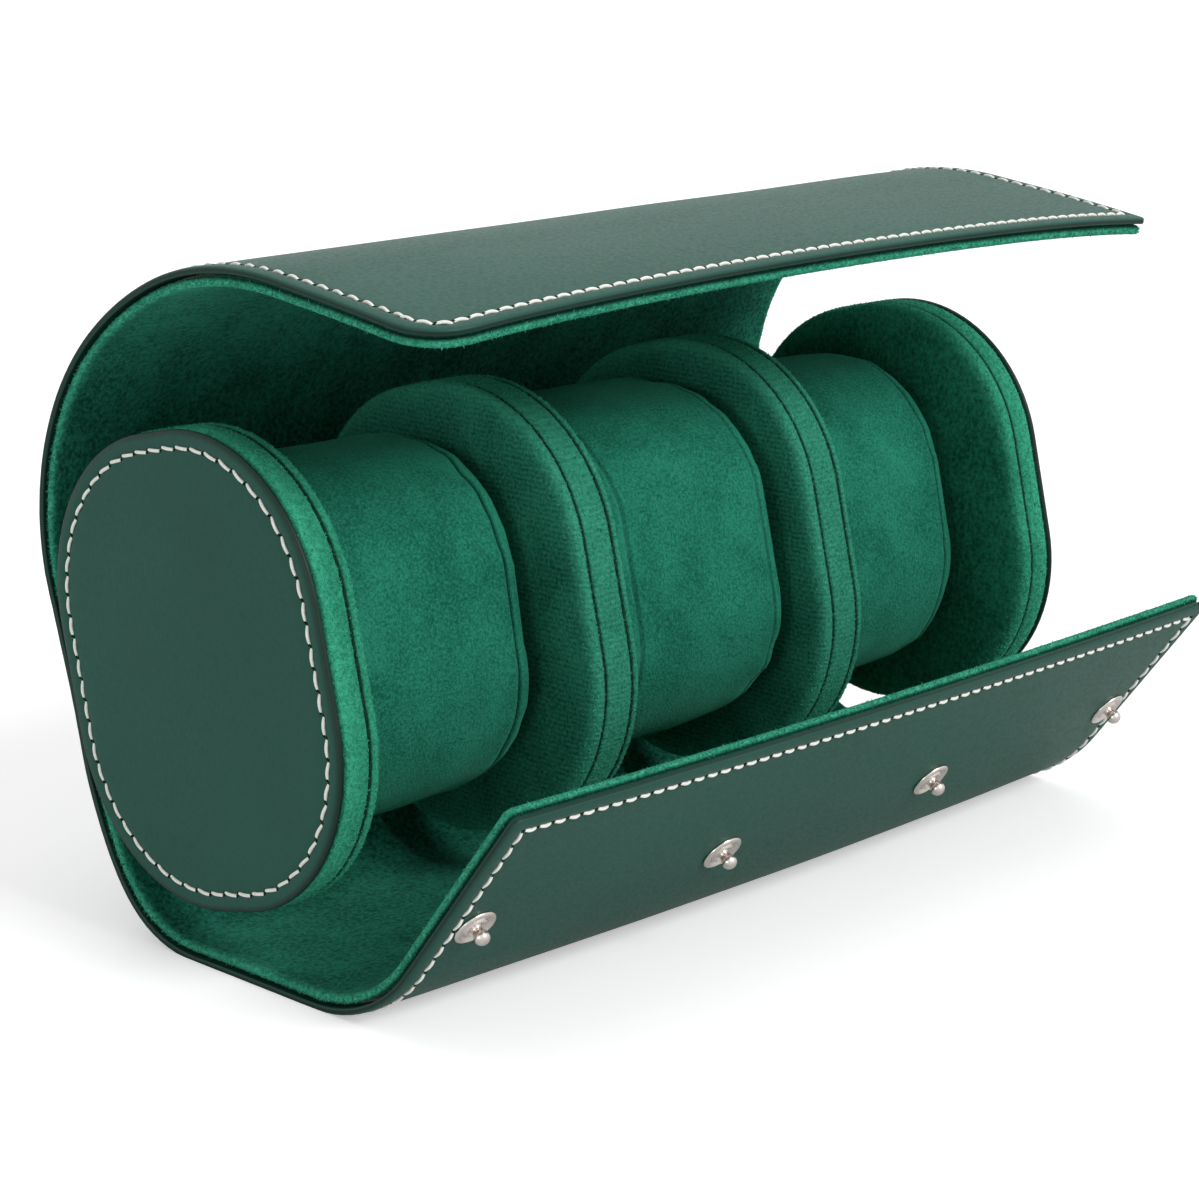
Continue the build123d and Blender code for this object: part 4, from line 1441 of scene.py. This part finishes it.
def light_room(scene, settings):
    """Even light from all round, and white behind everything that is seen or mirrored."""
    scene.world = bpy.data.worlds.new("studio_room")
    scene.world.use_nodes = True
    tree = scene.world.node_tree
    tree.nodes.clear()
    path = add_node(tree, "ShaderNodeLightPath").outputs
    room, white = (
        add_node(tree, "ShaderNodeBackground", 0, {"Color": (1, 1, 1, 1), "Strength": strength})
        for strength in (settings.room_light, 1.0)
    )
    seen = path["Is Camera Ray"]
    for ray in ("Is Glossy Ray", "Is Transmission Ray"):
        either = {0: seen, 1: path[ray]}
        seen = add_node(tree, "ShaderNodeMath", "Value", either, operation="MAXIMUM")
    shown = add_node(tree, "ShaderNodeMixShader", 0, {0: seen, 1: room, 2: white})
    add_node(tree, "ShaderNodeOutputWorld", None, {"Surface": shown})


class TWC_OT_stage(bpy.types.Operator):
    """Makes the floor, the soft lights and the camera"""

    bl_idname = "twc.stage"
    bl_label = "Stage"

    def execute(self, context):
        scene = context.scene
        settings = scene.twc_stage
        make_floor(settings)
        light_room(scene, settings)
        for name, power, spread, source in (
            ("front_softbox", settings.key_light, 24.0, (0.12, -0.82, 0.58)),
            ("side_softbox", settings.side_light, 30.0, (-1.0, -0.12, 0.1)),
            ("top_softbox", settings.top_light, 60.0, (0.15, 0.1, 1.0)),
        ):
            lamp = bpy.data.lights.new(name, "SUN")
            lamp.energy = power
            lamp.angle = math.radians(spread)
            holder = linked_object(name, lamp)
            holder.rotation_euler = (-Vector(source)).to_track_quat("-Z", "Y").to_euler()

        lens = bpy.data.cameras.new("photo_view")
        lens.sensor_width = SENSOR
        lens.lens = SENSOR * FOCAL_PIXELS / PHOTO_PIXELS
        lens.clip_start, lens.clip_end = 0.01, 20.0
        camera = linked_object("photo_view", lens)
        forward = Vector(VIEW_ALONG).normalized()
        right = forward.cross(Vector((0, 0, 1))).normalized()
        turn = Matrix((right, right.cross(forward), -forward)).transposed().to_4x4()
        camera.matrix_world = Matrix.Translation(Vector(VIEW_FROM)) @ turn
        scene.camera = camera
        scene.view_settings.view_transform = "Standard"
        return {"FINISHED"}


class TWC_PT_case(bpy.types.Panel):
    """Sidebar panel that lists the makers of the case"""

    bl_idname = "TWC_PT_case"
    bl_label = "Travel Watch Case"
    bl_space_type = "VIEW_3D"
    bl_region_type = "UI"
    bl_category = "Watch Case"

    def draw(self, context):
        layout = self.layout
        for key in GROUPS:
            group = getattr(context.scene, key)
            box = layout.box()
            for setting in group.__annotations__:
                box.prop(group, setting)
        for maker in MAKERS:
            layout.operator(maker.bl_idname)


MAKERS = (
    TWC_OT_wrap_leather,
    TWC_OT_wrap_boards,
    TWC_OT_wrap_lining,
    TWC_OT_wrap_stitches,
    TWC_OT_end_caps,
    TWC_OT_dividers,
    TWC_OT_cushions,
    TWC_OT_snaps,
    TWC_OT_stage,
)
GROUPS = {
    "twc_wrap": WrapSettings,
    "twc_seam": SeamSettings,
    "twc_cushion": CushionSettings,
    "twc_stage": StageSettings,
}
CLASSES = (*GROUPS.values(), *MAKERS, TWC_PT_case)


def register():
    for part in CLASSES:
        bpy.utils.register_class(part)
    for key, group in GROUPS.items():
        setattr(bpy.types.Scene, key, bpy.props.PointerProperty(type=group))


def unregister():
    for key in GROUPS:
        delattr(bpy.types.Scene, key)
    for part in reversed(CLASSES):
        bpy.utils.unregister_class(part)


def main():
    register()
    bpy.ops.twc.wrap_leather()
    bpy.ops.twc.wrap_boards()
    bpy.ops.twc.wrap_lining()
    bpy.ops.twc.wrap_stitches()
    bpy.ops.twc.end_caps()
    bpy.ops.twc.dividers()
    bpy.ops.twc.cushions()
    bpy.ops.twc.snaps()
    bpy.ops.twc.stage()


if __name__ == "__main__":
    main()
